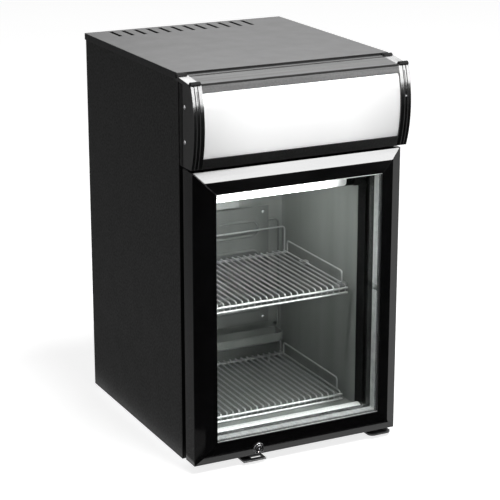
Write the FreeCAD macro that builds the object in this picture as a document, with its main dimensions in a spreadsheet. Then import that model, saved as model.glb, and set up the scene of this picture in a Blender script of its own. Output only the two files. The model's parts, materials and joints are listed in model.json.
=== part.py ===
import FreeCAD, Part
import math
import os
import Sketcher
from FreeCAD import Placement, Rotation, Vector
from types import SimpleNamespace

# Counter-top refrigerated bar cabinet with a glass door and a lit canopy
# Millimetres, +X to the right, +Y to the rear, +Z up
# The origin is on the floor under the middle of the overall box
# A "_height" that places something is measured from the underside of the cabinet

SIZES = {
    # Cabinet shell
    "cabinet_width": 400,
    "cabinet_depth": 408,
    "cabinet_height": 688,
    "sheet_gauge": 1,
    "panel_flange": 14,
    "cover_gauge": 1.5,
    "cover_lip": 12,
    "rear_cover_lift": 16,
    # Vent slots in the lid and louvres in the rear cover
    "vent_count": 12,
    "vent_pitch": 24.4,
    "vent_length": 50,
    "vent_width": 7,
    "vent_inset": 9,
    "vent_shift": -20,
    "louvre_count": 12,
    "louvre_pitch": 24,
    "louvre_width": 3.6,
    "louvre_margin": 34,
    # Feet
    "foot_height": 12,
    "foot_diameter": 34,
    "foot_inset": 52,
    # Insulated walls and the mouth
    "side_wall": 40,
    "rear_wall": 50,
    "duct_depth": 40,
    "floor_height": 30,
    "ceiling_height": 482,
    "ceiling_wall": 50,
    "liner_gauge": 1,
    "mouth_depth": 27,
    "sill_step": 2,
    # Cold plate, its line and its gutter
    "plate_side_gap": 38,
    "plate_clearance": 20,
    "plate_gauge": 1.6,
    "plate_gap": 16,
    "channel_diameter": 7,
    "channel_runs": 7,
    "channel_inset": 22,
    "channel_margin": 28,
    "bracket_size": 12,
    "bracket_inset": 6,
    "suction_diameter": 4,
    "suction_wall_gap": 16,
    "suction_clearance": 8,
    "gutter_side_gap": 12,
    "gutter_lift": 46,
    "gutter_height": 16,
    "gutter_depth": 39,
    "gutter_wall": 1.5,
    "gutter_corner": 14,
    # Light bar under the header
    "lamp_side_gap": 8,
    "lamp_inset": 13.5,
    "lamp_diameter": 21,
    "lamp_base": 6,
    "holder_length": 14,
    # Thermostat
    "thermostat_margin": 68,
    "thermostat_drop": 86,
    "thermostat_height": 42,
    "thermostat_gap": 6,
    "thermostat_depth": 28,
    "knob_margin": 30,
    "knob_diameter": 26,
    "knob_depth": 12,
    "knob_shaft": 6,
    "knob_shaft_length": 10,
    "pointer_width": 3,
    "pointer_rise": 2,
    # Wire shelves
    "shelf_side_gap": 13,
    "shelf_wires": 25,
    "shelf_wire": 3,
    "shelf_rod": 4.5,
    "shelf_rod_end": 3,
    "shelf_drop": 16,
    "shelf_bend": 5,
    "shelf_rear_gap": 33,
    "shelf_weld": 0.4,
    "upper_shelf_height": 258,
    "upper_shelf_front": 45,
    "lower_shelf_front": 58,
    "fence_wire": 3,
    "fence_bend": 6,
    "side_fence_height": 21,
    "upper_fence_height": 47,
    "lower_fence_height": 22,
    "fence_inset": 12,
    "leg_inset": 27,
    "clip_reach": 16,
    "clip_width": 12,
    "clip_height": 6,
    "clip_front": 66,
    "clip_rear": 212,
    "seat_gap": 0.3,
    # Cooling machine on the deck and behind the rear panel
    "compressor_length": 140,
    "compressor_width": 104,
    "compressor_headroom": 42,
    "compressor_corner": 44,
    "compressor_side_gap": 60,
    "compressor_set_back": 190,
    "compressor_plate": 2.5,
    "plate_overhang": 8,
    "mount_diameter": 18,
    "mount_height": 14,
    "terminal_width": 44,
    "terminal_depth": 28,
    "driver_length": 110,
    "driver_width": 46,
    "driver_height": 34,
    "driver_side_gap": 25,
    "driver_set_back": 110,
    "condenser_tube": 5,
    "condenser_side_gap": 39,
    "condenser_runs": 10,
    "condenser_low": 60,
    "condenser_top_gap": 76,
    "condenser_set_back": 20,
    "condenser_riser": 46,
    "riser_gap": 40,
    "strap_width": 14,
    "strap_gauge": 1.5,
    "strap_shift": 120,
    "drier_diameter": 18,
    "drier_length": 80,
    "drier_taper": 12,
    "gland_side_gap": 50,
    "gland_lift": 38,
    "gland_neck": 16,
    "gland_flange": 22,
    "gland_nut": 8,
    "gland_bore": 8,
    "gland_bore_depth": 7,
    # Canopy
    "canopy_overhang": 5.5,
    "canopy_reach": 73,
    "canopy_crown": 12.5,
    "canopy_gap": 4,
    "canopy_drop": 3,
    "canopy_rise": 7,
    "canopy_seam": 0.5,
    "cap_width": 19.5,
    "cap_arm": 9,
    "groove_width": 1.2,
    "groove_depth": 1.2,
    "ridge_diameter": 5,
    "ridge_inset": 3,
    "strip_gauge": 3,
    "sign_low_margin": 18,
    "sign_high_margin": 14,
    "sign_gauge": 3,
    "sign_lap": 6,
    "sign_inset": 3.3,
    "tray_depth": 18,
    "tray_gauge": 1.5,
    "tray_margin": 9,
    "screw_head": 7,
    "screw_proud": 1,
    "screw_shank": 3.4,
    "screw_length": 12,
    "screw_set_back": 37,
    "screw_low_margin": 43,
    "screw_high_margin": 40,
    "tube_diameter": 16,
    "tube_end_gap": 21,
    "tube_set_back": 36,
    "tube_holder": 8,
    "tube_holder_height": 22,
    # Door
    "door_lift": 5,
    "door_top_gap": 2.5,
    "gasket_depth": 14.5,
    "gasket_inset": 10,
    "gasket_width": 14,
    "rail_depth": 36,
    "rail_width": 40,
    "bevel_width": 18.5,
    "bevel_rise": 7.5,
    "rail_rise": 3,
    "lip_gauge": 5,
    "pane_lap": 8,
    "pane_play": 0.5,
    "pane_gauge": 4,
    "pane_gap": 16,
    "spacer_width": 8,
    "spacer_show": 3,
    # Hinges
    "hinge_inset": 12,
    "pin_diameter": 8,
    "pin_reach": 18,
    "pin_gap": 0.05,
    "pin_end_gap": 2,
    "bush_diameter": 16,
    "hinge_gauge": 3,
    "hinge_drop": 5,
    "hinge_length": 46,
    "hinge_edge": 4,
    "hinge_reach": 52,
    "hinge_tail": 30,
    "hinge_corner": 10,
    "upper_hinge_gauge": 2.5,
    "upper_hinge_reach": 45,
    "upper_hinge_leg": 12,
    # Lock
    "lock_shift": -80,
    "lock_height": 20,
    "lock_face": 20,
    "lock_depth": 16,
    "lock_plug": 12,
    "fit_gap": 0.1,
    "plug_proud": 0.6,
    "key_slot_width": 1.4,
    "key_slot_length": 7,
    "key_slot_depth": 4,
    "cam_length": 25,
    "cam_width": 9,
    "cam_gauge": 3,
    "cam_play": 1.5,
    "strike_gauge": 3,
    "strike_drop": 6,
    "strike_left": 26,
    "strike_right": 18,
    "strike_reach": 54,
    "strike_slot_left": 7,
    "strike_slot_right": 14,
}

doc = FreeCAD.newDocument("bar_cabinet")
sheet = doc.addObject("Spreadsheet::Sheet", "Sizes")
for row, (alias, amount) in enumerate(SIZES.items(), start=1):
    sheet.set(f"A{row}", alias)
    sheet.set(f"B{row}", str(amount))
    sheet.setAlias(f"B{row}", alias)
doc.recompute()


class Size:
    """A length that carries its number and the sheet expression that gives it."""

    def __init__(self, text, number):
        self.text = text
        self.number = number

    @staticmethod
    def of(value):
        """Give a Size for a Size or for a plain number."""
        return value if isinstance(value, Size) else Size(repr(value), value)

    def joined(self, sign, other, number):
        """Write this size, a sign and another one as a new size."""
        return Size(f"({self.text} {sign} {Size.of(other).text})", number)

    def __add__(self, other):
        return self.joined("+", other, self.number + Size.of(other).number)

    def __sub__(self, other):
        return self.joined("-", other, self.number - Size.of(other).number)

    def __mul__(self, other):
        return self.joined("*", other, self.number * Size.of(other).number)

    def __truediv__(self, other):
        return self.joined("/", other, self.number / Size.of(other).number)

    def __neg__(self):
        return self * -1

    def root(self):
        """Give the square root of this size."""
        return Size(f"sqrt({self.text})", math.sqrt(self.number))


size = SimpleNamespace(**{alias: Size(f"Sizes.{alias}", float(sheet.get(alias))) for alias in SIZES})

# Main places, shared by every piece
overall_depth = size.canopy_reach + size.cabinet_depth + size.cover_gauge
front = size.canopy_reach - overall_depth / 2
back = front + size.cabinet_depth
base = size.foot_height
top = base + size.cabinet_height
half = size.cabinet_width / 2
skin = half - size.sheet_gauge
inner = half - size.side_wall
liner_outer = inner + size.liner_gauge
duct_front = back - size.duct_depth
liner_back = duct_front - size.rear_wall
mouth_back = front + size.mouth_depth
floor = base + size.floor_height
ceiling = base + size.ceiling_height
deck = ceiling + size.ceiling_wall
lid_under = top - size.cover_gauge

NODES = []
AXIS_TURNS = {
    "X": Rotation(Vector(0, 1, 0), 90),
    "Y": Rotation(Vector(1, 0, 0), -90),
    "Z": Rotation(),
}
SIDES = {"left": -1, "right": 1}
# Bend radius of a line as a multiple of its diameter, and of a hairpin as a share of its pitch
BEND_SHARE = 2.5
HAIRPIN_SHARE = 0.499
# Dome radius, outlet height and terminal cover as shares of the height of the compressor
DOME_SHARE = 0.27
OUTLET_SHARE = 0.625
TERMINAL_SHARE = 0.52
# Least volume, in cubic millimetres, that a pocket takes away
LEAST_CUT = 0.001


def keep(thing):
    """Note a finished piece, whose label names its file."""
    NODES.append(thing)
    return thing


def bind(thing, prop, value):
    """Tie a property to the sheet."""
    thing.setExpression(prop, Size.of(value).text)


def mirrored(side, near, far):
    """Give the low and high X of a span on one side of the middle."""
    return (near, far) if side > 0 else (-far, -near)


def about(middle, width):
    """Give the low and high ends of a span about its middle."""
    return middle - width / 2, middle + width / 2


def block(name, x, y, z):
    """Make a box from its low and high ends on each axis."""
    box = doc.addObject("Part::Box", name)
    for side, letter, (low, high) in zip(("Length", "Width", "Height"), "xyz", (x, y, z)):
        bind(box, side, high - low)
        bind(box, f"Placement.Base.{letter}", low)
    return box


def round_bar(name, axis, along, across, start_diameter, end_diameter=None):
    """Make a cylinder or a cone along one axis; across is its place on the two other axes."""
    low, high = along
    if end_diameter is None:
        bar = doc.addObject("Part::Cylinder", name)
        bind(bar, "Radius", start_diameter / 2)
    else:
        bar = doc.addObject("Part::Cone", name)
        bind(bar, "Radius1", start_diameter / 2)
        bind(bar, "Radius2", end_diameter / 2)
    bar.Placement = Placement(Vector(), AXIS_TURNS[axis])
    bind(bar, "Height", high - low)
    places = {letter: value for letter, value in zip((a for a in "XYZ" if a != axis), across)}
    places[axis] = low
    for letter, value in places.items():
        bind(bar, f"Placement.Base.{letter.lower()}", value)
    return bar


def fuse(name, *parts):
    """Join parts into one solid."""
    joined = doc.addObject("Part::MultiFuse", name)
    joined.Shapes = list(parts)
    joined.Refine = True
    return joined


def group(name, *parts):
    """Gather separate solids under one name."""
    gathered = doc.addObject("Part::Compound", name)
    gathered.Links = list(parts)
    return gathered


def cut(name, blank, *tools):
    """Cut separate tools out of a blank."""
    result = doc.addObject("Part::Cut", name)
    result.Base = blank
    result.Tool = tools[0] if len(tools) == 1 else group(f"{name}_tools", *tools)
    return result


def shape_piece(name, shape):
    """Keep a shape that is made from the sheet's numbers in code."""
    piece = doc.addObject("Part::Feature", name)
    piece.Shape = shape
    piece.Placement = Placement()
    return keep(piece)


def new_sketch(body, role, level):
    """Start a sketch on one of the body's own origin planes, moved along the plane's normal."""
    sketch = body.newObject("Sketcher::SketchObject", f"{body.Name}_sketch")
    plane = next(part for part in body.Origin.OriginFeatures if part.Role == role)
    sketch.AttachmentSupport = [(plane, "")]
    sketch.MapMode = "FlatFace"
    bind(sketch, "AttachmentOffset.Base.z", level)
    return sketch


def pin_point(sketch, geometry, vertex, point):
    """Tie a vertex of a sketch to the sheet, across and up."""
    for kind, value in zip(("DistanceX", "DistanceY"), point):
        value = Size.of(value)
        constraint = Sketcher.Constraint(kind, -1, 1, geometry, vertex, value.number)
        bind(sketch, f"Constraints[{sketch.addConstraint(constraint)}]", value)


def arc_between(start, end, radius):
    """Make an arc; a positive radius has its centre to the left of the way from start to end."""
    chord = end - start
    rise = math.sqrt(max(radius ** 2 - (chord.Length / 2) ** 2, 0))
    left = Vector(-chord.y, chord.x, 0).normalize()
    centre = (start + end) / 2 + left * math.copysign(rise, radius)
    first, last = (start, end) if radius > 0 else (end, start)
    angles = [math.atan2(point.y - centre.y, point.x - centre.x) for point in (first, last)]
    if angles[1] < angles[0]:
        angles[1] += 2 * math.pi
    return Part.ArcOfCircle(Part.Circle(centre, Vector(0, 0, 1), abs(radius)), *angles)


def outline(body, role, level, *corners):
    """Draw a closed outline; a corner's third entry makes the edge that leaves it an arc."""
    sketch = new_sketch(body, role, level)
    points = [[Size.of(value) for value in corner] for corner in corners]
    ends = []
    for here, after in zip(points, points[1:] + points[:1]):
        start = Vector(here[0].number, here[1].number, 0)
        end = Vector(after[0].number, after[1].number, 0)
        if len(here) == 3:
            edge = sketch.addGeometry(arc_between(start, end, here[2].number))
            ends.append((edge, 1, 2) if here[2].number > 0 else (edge, 2, 1))
        else:
            edge = sketch.addGeometry(Part.LineSegment(start, end))
            ends.append((edge, 1, 2))
    for (edge, _, last), (following, first, _) in zip(ends, ends[1:] + ends[:1]):
        sketch.addConstraint(Sketcher.Constraint("Coincident", edge, last, following, first))
    for corner, (edge, first, _) in zip(points, ends):
        pin_point(sketch, edge, first, corner[:2])
        if len(corner) == 3:
            radius = corner[2] if corner[2].number > 0 else -corner[2]
            constraint = Sketcher.Constraint("Radius", edge, radius.number)
            bind(sketch, f"Constraints[{sketch.addConstraint(constraint)}]", radius)
    return sketch


def disc(body, role, level, centre, diameter):
    """Draw a circle."""
    sketch = new_sketch(body, role, level)
    middle = Vector(*(Size.of(value).number for value in centre), 0)
    radius = Size.of(diameter) / 2
    edge = sketch.addGeometry(Part.Circle(middle, Vector(0, 0, 1), radius.number))
    pin_point(sketch, edge, 3, centre)
    constraint = Sketcher.Constraint("Radius", edge, radius.number)
    bind(sketch, f"Constraints[{sketch.addConstraint(constraint)}]", radius)
    return sketch


def pad(body, sketch, length):
    """Extrude a sketch along its plane's normal."""
    feature = body.newObject("PartDesign::Pad", f"{body.Name}_pad")
    feature.Profile = sketch
    bind(feature, "Length", length)
    return feature


def pocket(body, sketch, length, upward=False):
    """Cut a sketch into the body, against its plane's normal or, upward, along it."""
    feature = body.newObject("PartDesign::Pocket", f"{body.Name}_pocket")
    feature.Profile = sketch
    feature.Reversed = upward
    bind(feature, "Length", length)
    return feature


def rounded(x, y, corner):
    """Give the corners of a rectangle whose four corners are round."""
    (left, right), (near, far) = x, y
    return (
        (left + corner, near), (right - corner, near, corner),
        (right, near + corner), (right, far - corner, corner),
        (right - corner, far), (left + corner, far, corner),
        (left, far - corner), (left, near + corner, corner),
    )


def bent_tube(points, bend, diameter):
    """Sweep a round section along straight runs joined by tangent arcs."""
    edges = []
    here = points[0]
    for before, corner, after in zip(points, points[1:], points[2:]):
        into = (corner - before).normalize()
        out = (after - corner).normalize()
        turn = into.getAngle(out)
        reach = bend * math.tan(turn / 2)
        start = corner - into * reach
        end = corner + out * reach
        inward = (out - into).normalize()
        middle = corner + inward * (bend / math.cos(turn / 2) - bend)
        edges.append(Part.LineSegment(here, start).toShape())
        edges.append(Part.Arc(start, middle, end).toShape())
        here = end
    edges.append(Part.LineSegment(here, points[-1]).toShape())
    section = Part.makeCircle(diameter / 2, points[0], points[1] - points[0])
    return Part.Wire(edges).makePipeShell([Part.Wire(section)], True, False)


def serpentine(left, right, level, heights):
    """Give the corners of a flat path that runs to and fro at each height."""
    points = []
    for index, height in enumerate(heights):
        across = (left, right) if index % 2 == 0 else (right, left)
        points += [Vector(x, level, height) for x in across]
    return points


# Cabinet shell

def side_panels():
    """Make the two painted side sheets with their rear flanges."""
    for name, side in SIDES.items():
        tall = (base, lid_under)
        face = block(f"{name}_side_face", mirrored(side, skin, half), (front, back), tall)
        turn = mirrored(side, half - size.panel_flange, skin)
        flange = block(f"{name}_side_flange", turn, (back - size.sheet_gauge, back), tall)
        keep(fuse(f"{name}_side_panel", face, flange))


def top_cover():
    """Make the lid with its turned-down lip and its row of vent slots."""
    lid_half = half + size.cover_gauge
    lid_back = back + size.cover_gauge
    lip = (top - size.cover_lip, lid_under)
    parts = [block("cover_sheet", (-lid_half, lid_half), (front, lid_back), (lid_under, top))]
    for name, side in SIDES.items():
        parts.append(block(f"cover_lip_{name}", mirrored(side, half, lid_half), (front, lid_back), lip))
    parts.append(block("cover_lip_rear", (-half, half), (back, lid_back), lip))
    slots = []
    count = int(size.vent_count.number)
    reach = (back - size.vent_inset - size.vent_length, back - size.vent_inset)
    for index in range(count):
        middle = size.vent_shift + size.vent_pitch * (index - (count - 1) / 2)
        slots.append(block(f"vent_{index}", about(middle, size.vent_width), reach, (lid_under, top)))
    keep(cut("top_cover", fuse("cover_blank", *parts), *slots))


def flat_sheets():
    """Make the base pan, rear panel, machine deck and front fascia."""
    wide = (-skin, skin)
    gauge = size.sheet_gauge
    keep(block("base_pan", wide, (front, back - gauge), (base, base + gauge)))
    keep(block("rear_panel", wide, (duct_front - gauge, duct_front), (base + gauge, deck - gauge)))
    keep(block("machine_deck", wide, (front, duct_front), (deck - gauge, deck)))
    keep(block("front_fascia", wide, (front, front + gauge), (deck, lid_under)))


def rear_cover():
    """Make the louvred cover behind the machine, with the hole for the cord gland."""
    low = deck + size.rear_cover_lift
    plate = (back - size.sheet_gauge * 2, back - size.sheet_gauge)
    blank = block("rear_cover_blank", (-skin, skin), plate, (low, lid_under))
    tools = []
    count = int(size.louvre_count.number)
    slot = (low + size.louvre_margin, lid_under - size.louvre_margin)
    for index in range(count):
        middle = size.louvre_pitch * (index - (count - 1) / 2) + size.louvre_pitch
        tools.append(block(f"louvre_{index}", about(middle, size.louvre_width), plate, slot))
    gland = (size.gland_side_gap - half, low + size.gland_lift)
    tools.append(round_bar("gland_hole", "Y", plate, gland, size.gland_neck + size.fit_gap))
    keep(cut("rear_cover", blank, *tools))


def insulation():
    """Make the foam slabs between the outer sheets and the liner."""
    low = base + size.sheet_gauge
    high = deck - size.sheet_gauge
    rear = duct_front - size.sheet_gauge
    liner_rear = liner_back + size.liner_gauge
    between = (-liner_outer, liner_outer)
    lengthwise = (mouth_back, liner_rear)
    slabs = []
    for name, side in SIDES.items():
        across = mirrored(side, liner_outer, skin)
        slabs.append(block(f"foam_{name}", across, (mouth_back, rear), (low, high)))
    slabs.append(block("foam_rear", between, (liner_rear, rear), (low, high)))
    slabs.append(block("foam_floor", between, lengthwise, (low, floor - size.liner_gauge)))
    slabs.append(block("foam_ceiling", between, lengthwise, (ceiling + size.liner_gauge, high)))
    keep(group("insulation", *slabs))


def liner():
    """Make the aluminium inner walls."""
    gauge = size.liner_gauge
    tall = (floor - gauge, ceiling + gauge)
    between = (-inner, inner)
    walls = []
    for name, side in SIDES.items():
        wall = mirrored(side, inner, liner_outer)
        walls.append(block(f"liner_{name}", wall, (mouth_back, liner_back + gauge), tall))
    walls.append(block("liner_rear", between, (liner_back, liner_back + gauge), tall))
    walls.append(block("liner_floor", between, (mouth_back, liner_back), (floor - gauge, floor)))
    walls.append(block("liner_ceiling", between, (mouth_back, liner_back), (ceiling, ceiling + gauge)))
    keep(group("liner", *walls))


def mouth():
    """Make the black strips round the mouth and the bright sill."""
    low = base + size.sheet_gauge
    high = deck - size.sheet_gauge
    across = (front, mouth_back)
    sill_top = floor + size.sill_step
    sill_seat = sill_top - size.liner_gauge
    for name, side in SIDES.items():
        keep(block(f"front_post_{name}", mirrored(side, inner, skin), across, (low, high)))
    keep(block("front_header", (-inner, inner), across, (ceiling, high)))
    keep(block("front_sill", (-inner, inner), across, (low, sill_seat)))
    keep(block("sill_plate", (-inner, inner), across, (sill_seat, sill_top)))


def feet():
    """Make the four rubber feet."""
    pads = []
    for name, side in SIDES.items():
        x = (half - size.foot_inset) * side
        for place, y in (("front", front + size.foot_inset), ("rear", back - size.foot_inset)):
            foot = round_bar(f"foot_{place}_{name}", "Z", (Size.of(0), base), (x, y), size.foot_diameter)
            pads.append(foot)
    keep(group("feet", *pads))


# Cold plate, gutter, light and thermostat

plate_front = liner_back - size.plate_gap - size.plate_gauge
gutter_low = floor + size.gutter_lift
gutter_high = gutter_low + size.gutter_height
thermostat_high = ceiling - size.thermostat_drop
thermostat_low = thermostat_high - size.thermostat_height
plate_low = gutter_high + size.plate_clearance
plate_high = thermostat_low - size.thermostat_gap
plate_height = plate_high - plate_low
plate_edge = inner - size.plate_side_gap


def evaporator():
    """Make the cold plate with its raised channel, and the brackets that hold it off the wall."""
    half_width = plate_edge.number
    corner = Vector(-half_width, plate_front.number, plate_low.number)
    plate = Part.makeBox(half_width * 2, size.plate_gauge.number, plate_height.number, corner)
    runs = int(size.channel_runs.number)
    pitch = ((plate_height - size.channel_margin * 2) / (runs - 1)).number
    highest = (plate_high - size.channel_margin).number
    heights = [highest - pitch * index for index in range(runs)]
    reach = half_width - size.channel_inset.number
    level = plate_front.number + size.plate_gauge.number / 2
    path = serpentine(-reach, reach, level, heights)
    channel = bent_tube(path, pitch * HAIRPIN_SHARE, size.channel_diameter.number)
    shape_piece("evaporator_plate", plate.fuse(channel).removeSplitter())
    brackets = []
    stand = (plate_front + size.plate_gauge, liner_back)
    edge = plate_edge - size.bracket_inset
    for name, side in SIDES.items():
        across = mirrored(side, edge - size.bracket_size, edge)
        low = plate_low + size.bracket_inset
        high = plate_high - size.bracket_inset
        brackets.append(block(f"bracket_low_{name}", across, stand, (low, low + size.bracket_size)))
        brackets.append(block(f"bracket_high_{name}", across, stand, (high - size.bracket_size, high)))
    keep(group("evaporator_brackets", *brackets))


def suction_line():
    """Make the tube that leaves the cold plate, runs down the rear wall and goes into it."""
    diameter = size.suction_diameter.number
    level = (plate_front + size.plate_gauge / 2).number
    edge = plate_edge.number
    x = (inner - size.suction_wall_gap).number
    high = plate_high.number - size.bracket_inset.number - size.bracket_size.number * 2
    low = (gutter_high + size.suction_clearance).number
    path = [Vector(edge, level, high), Vector(x, level, high), Vector(x, level, low)]
    path.append(Vector(x, liner_back.number, low))
    shape_piece("suction_line", bent_tube(path, diameter * BEND_SHARE, diameter))


def drip_gutter():
    """Make the trough under the cold plate, round at its front corners."""
    body = doc.addObject("PartDesign::Body", "drip_gutter")
    wall = size.gutter_wall
    reach = inner - size.gutter_side_gap

    def trough(width, near, far, corner):
        return (
            (-width + corner, near), (width - corner, near, corner), (width, near + corner),
            (width, far), (-width, far), (-width, near + corner, corner),
        )

    near = liner_back - size.gutter_depth
    outer = trough(reach, near, liner_back, size.gutter_corner)
    pad(body, outline(body, "XY_Plane", gutter_low, *outer), size.gutter_height)
    hollow = trough(reach - wall, near + wall, liner_back - wall, size.gutter_corner - wall)
    pocket(body, outline(body, "XY_Plane", gutter_high, *hollow), size.gutter_height - wall)
    keep(body)


def light_bar():
    """Make the lamp housing under the header and its white diffuser."""
    middle = front + size.lamp_inset
    radius = size.lamp_diameter / 2
    across = about(middle, size.lamp_diameter)
    seat = ceiling - size.lamp_base
    axis = seat - radius
    reach = inner - size.lamp_side_gap
    parts = [block("lamp_rail", (-reach, reach), across, (seat, ceiling))]
    inside = reach - size.holder_length
    for name, side in SIDES.items():
        end = mirrored(side, inside, reach)
        parts.append(block(f"lamp_holder_{name}", end, across, (axis - radius, seat)))
    keep(fuse("lamp_housing", *parts))
    body = doc.addObject("PartDesign::Body", "lamp_diffuser")
    near, far = across
    section = (
        (near, axis, radius), (middle, axis - radius, radius), (far, axis), (far, seat), (near, seat),
    )
    pad(body, outline(body, "YZ_Plane", -inside, *section), inside * 2)
    keep(body)


def thermostat():
    """Make the thermostat housing over the cold plate and its knob."""
    face = liner_back - size.thermostat_depth
    reach = plate_edge - size.thermostat_margin
    axis = (size.knob_margin - reach, thermostat_low + size.thermostat_height / 2)
    wide = (-reach, reach)
    blank = block("thermostat_blank", wide, (face, liner_back), (thermostat_low, thermostat_high))
    shaft_end = face + size.knob_shaft_length
    bore_depth = (face, shaft_end + size.pin_end_gap)
    bore = round_bar("thermostat_bore", "Y", bore_depth, axis, size.knob_shaft + size.pin_gap * 2)
    keep(cut("thermostat_box", blank, bore))
    knob_back = face - size.seat_gap
    knob_front = knob_back - size.knob_depth
    grip = round_bar("knob_grip", "Y", (knob_front, knob_back), axis, size.knob_diameter)
    shaft = round_bar("knob_shaft", "Y", (knob_back, shaft_end), axis, size.knob_shaft)
    pointer_top = axis[1] + size.knob_diameter / 2
    pointer = block("knob_pointer", about(axis[0], size.pointer_width),
                    (knob_front - size.pointer_rise, knob_front), (axis[1], pointer_top))
    keep(fuse("thermostat_knob", grip, shaft, pointer))


# Wire shelves

shelf_half = inner - size.shelf_side_gap
shelf_depth = liner_back - size.shelf_rear_gap - (front + size.upper_shelf_front)


def shelf_grid(name, near, wire_level, legs):
    """Weld a row of wires, bent down at the front, to the cross rods of one shelf."""
    wire = size.shelf_wire.number
    rod = size.shelf_rod.number
    weld = size.shelf_weld.number
    width = shelf_half.number
    drop = size.shelf_drop.number
    bend = size.shelf_bend.number
    level = wire_level.number
    front_end = near.number
    rear_end = front_end + shelf_depth.number
    count = int(size.shelf_wires.number)
    parts = []
    for index in range(count):
        x = width * (2 * index / (count - 1) - 1)
        path = [Vector(x, rear_end, level), Vector(x, front_end, level), Vector(x, front_end, level - drop)]
        parts.append(bent_tube(path, bend, wire))
    under = level - (wire + rod) / 2 + weld
    before = front_end - (wire + rod) / 2 + weld
    places = [
        (before, level - bend),
        (before, level - drop + rod / 2),
        (rear_end - rod, under),
    ]
    reach = width + size.shelf_rod_end.number
    for y, z in places:
        parts.append(Part.makeCylinder(rod / 2, 2 * reach, Vector(-reach, y, z), Vector(1, 0, 0)))
    if legs:
        for side in SIDES.values():
            foot = Vector((width - size.leg_inset.number) * side, rear_end - rod, level - drop)
            parts.append(Part.makeCylinder(rod / 2, under - foot.z, foot))
    shape_piece(name, parts[0].multiFuse(parts[1:]).removeSplitter())


def shelf_fence(name, near, wire_level, rear_height):
    """Stand a wire fence on the rear and on each side of a shelf."""
    wire = size.fence_wire.number
    bend = size.fence_bend.number
    inset = size.fence_inset.number
    width = shelf_half.number
    foot = wire_level.number + size.shelf_wire.number / 2 + size.seat_gap.number
    front_end = near.number + inset
    rear_end = near.number + shelf_depth.number - wire
    rail = foot + rear_height.number

    def hoop(start, end, level):
        corners = [start, Vector(start.x, start.y, level), Vector(end.x, end.y, level), end]
        return bent_tube(corners, bend, wire)

    hoops = [hoop(Vector(-width, rear_end, foot), Vector(width, rear_end, foot), rail)]
    for side in SIDES.values():
        x = width * side
        low_rail = foot + size.side_fence_height.number
        hoops.append(hoop(Vector(x, front_end, foot), Vector(x, rear_end - inset, foot), low_rail))
    shape_piece(name, Part.Compound(hoops))


def shelves():
    """Make both shelves and the clips under the upper one."""
    upper_front = front + size.upper_shelf_front
    upper_level = base + size.upper_shelf_height
    lower_front = front + size.lower_shelf_front
    lower_level = floor + size.shelf_drop + size.seat_gap
    shelf_grid("upper_shelf_grid", upper_front, upper_level, legs=False)
    shelf_fence("upper_shelf_fence", upper_front, upper_level, size.upper_fence_height)
    shelf_grid("lower_shelf_grid", lower_front, lower_level, legs=True)
    shelf_fence("lower_shelf_fence", lower_front, lower_level, size.lower_fence_height)
    clip_top = upper_level - size.shelf_wire / 2 - size.seat_gap
    clips = []
    for name, side in SIDES.items():
        across = mirrored(side, inner - size.clip_reach, inner)
        for place, y in (("front", front + size.clip_front), ("rear", front + size.clip_rear)):
            tall = (clip_top - size.clip_height, clip_top)
            clips.append(block(f"clip_{place}_{name}", across, about(y, size.clip_width), tall))
    keep(group("shelf_clips", *clips))


# Cooling machine

compressor_y = front + size.compressor_set_back
compressor_plate = deck + size.mount_height
compressor_low = compressor_plate + size.compressor_plate
compressor_height = lid_under - compressor_low - size.compressor_headroom
compressor_x = half - size.compressor_side_gap - size.compressor_length / 2
riser_x = compressor_x - size.compressor_length / 2 - size.riser_gap
condenser_y = duct_front + size.condenser_set_back
condenser_low = base + size.condenser_low
condenser_high = deck - size.condenser_top_gap
riser_top = condenser_high + size.condenser_riser


def compressor():
    """Make the compressor on its foot plate, its rubber mounts and its terminal cover."""
    body = doc.addObject("PartDesign::Body", "compressor")
    x = about(compressor_x, size.compressor_length)
    y = about(compressor_y, size.compressor_width)
    lap = size.plate_overhang
    plate_x = (x[0] - lap, x[1] + lap)
    plate_y = (y[0] - lap, y[1] + lap)
    foot = outline(body, "XY_Plane", compressor_plate, *rounded(plate_x, plate_y, size.mount_diameter / 2))
    pad(body, foot, size.compressor_plate)
    can = outline(body, "XY_Plane", compressor_low, *rounded(x, y, size.compressor_corner))
    shell = pad(body, can, compressor_height)
    doc.recompute()
    crown = (compressor_low + compressor_height).number
    rim = [f"Edge{index}" for index, edge in enumerate(shell.Shape.Edges, start=1)
           if all(abs(vertex.Z - crown) < 1e-6 for vertex in edge.Vertexes)]
    dome = body.newObject("PartDesign::Fillet", "compressor_dome")
    dome.Base = (shell, rim)
    bind(dome, "Radius", compressor_height * DOME_SHARE)
    keep(body)
    mounts = []
    reach = size.mount_diameter / 2
    for side_name, mount_x in (("left", plate_x[0] + reach), ("right", plate_x[1] - reach)):
        for place, mount_y in (("front", plate_y[0] + reach), ("rear", plate_y[1] - reach)):
            mounts.append(round_bar(f"mount_{place}_{side_name}", "Z", (deck, compressor_plate),
                                    (mount_x, mount_y), size.mount_diameter))
    keep(group("compressor_mounts", *mounts))
    keep(block("terminal_cover", about(compressor_x, size.terminal_width),
               (y[0] - size.terminal_depth, y[0]),
               (compressor_low, compressor_low + compressor_height * TERMINAL_SHARE)))


def lamp_driver():
    """Make the supply box of the lamps."""
    middle = size.driver_side_gap + size.driver_length / 2 - half
    keep(block("lamp_driver", about(middle, size.driver_length),
               about(front + size.driver_set_back, size.driver_width), (deck, deck + size.driver_height)))


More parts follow.
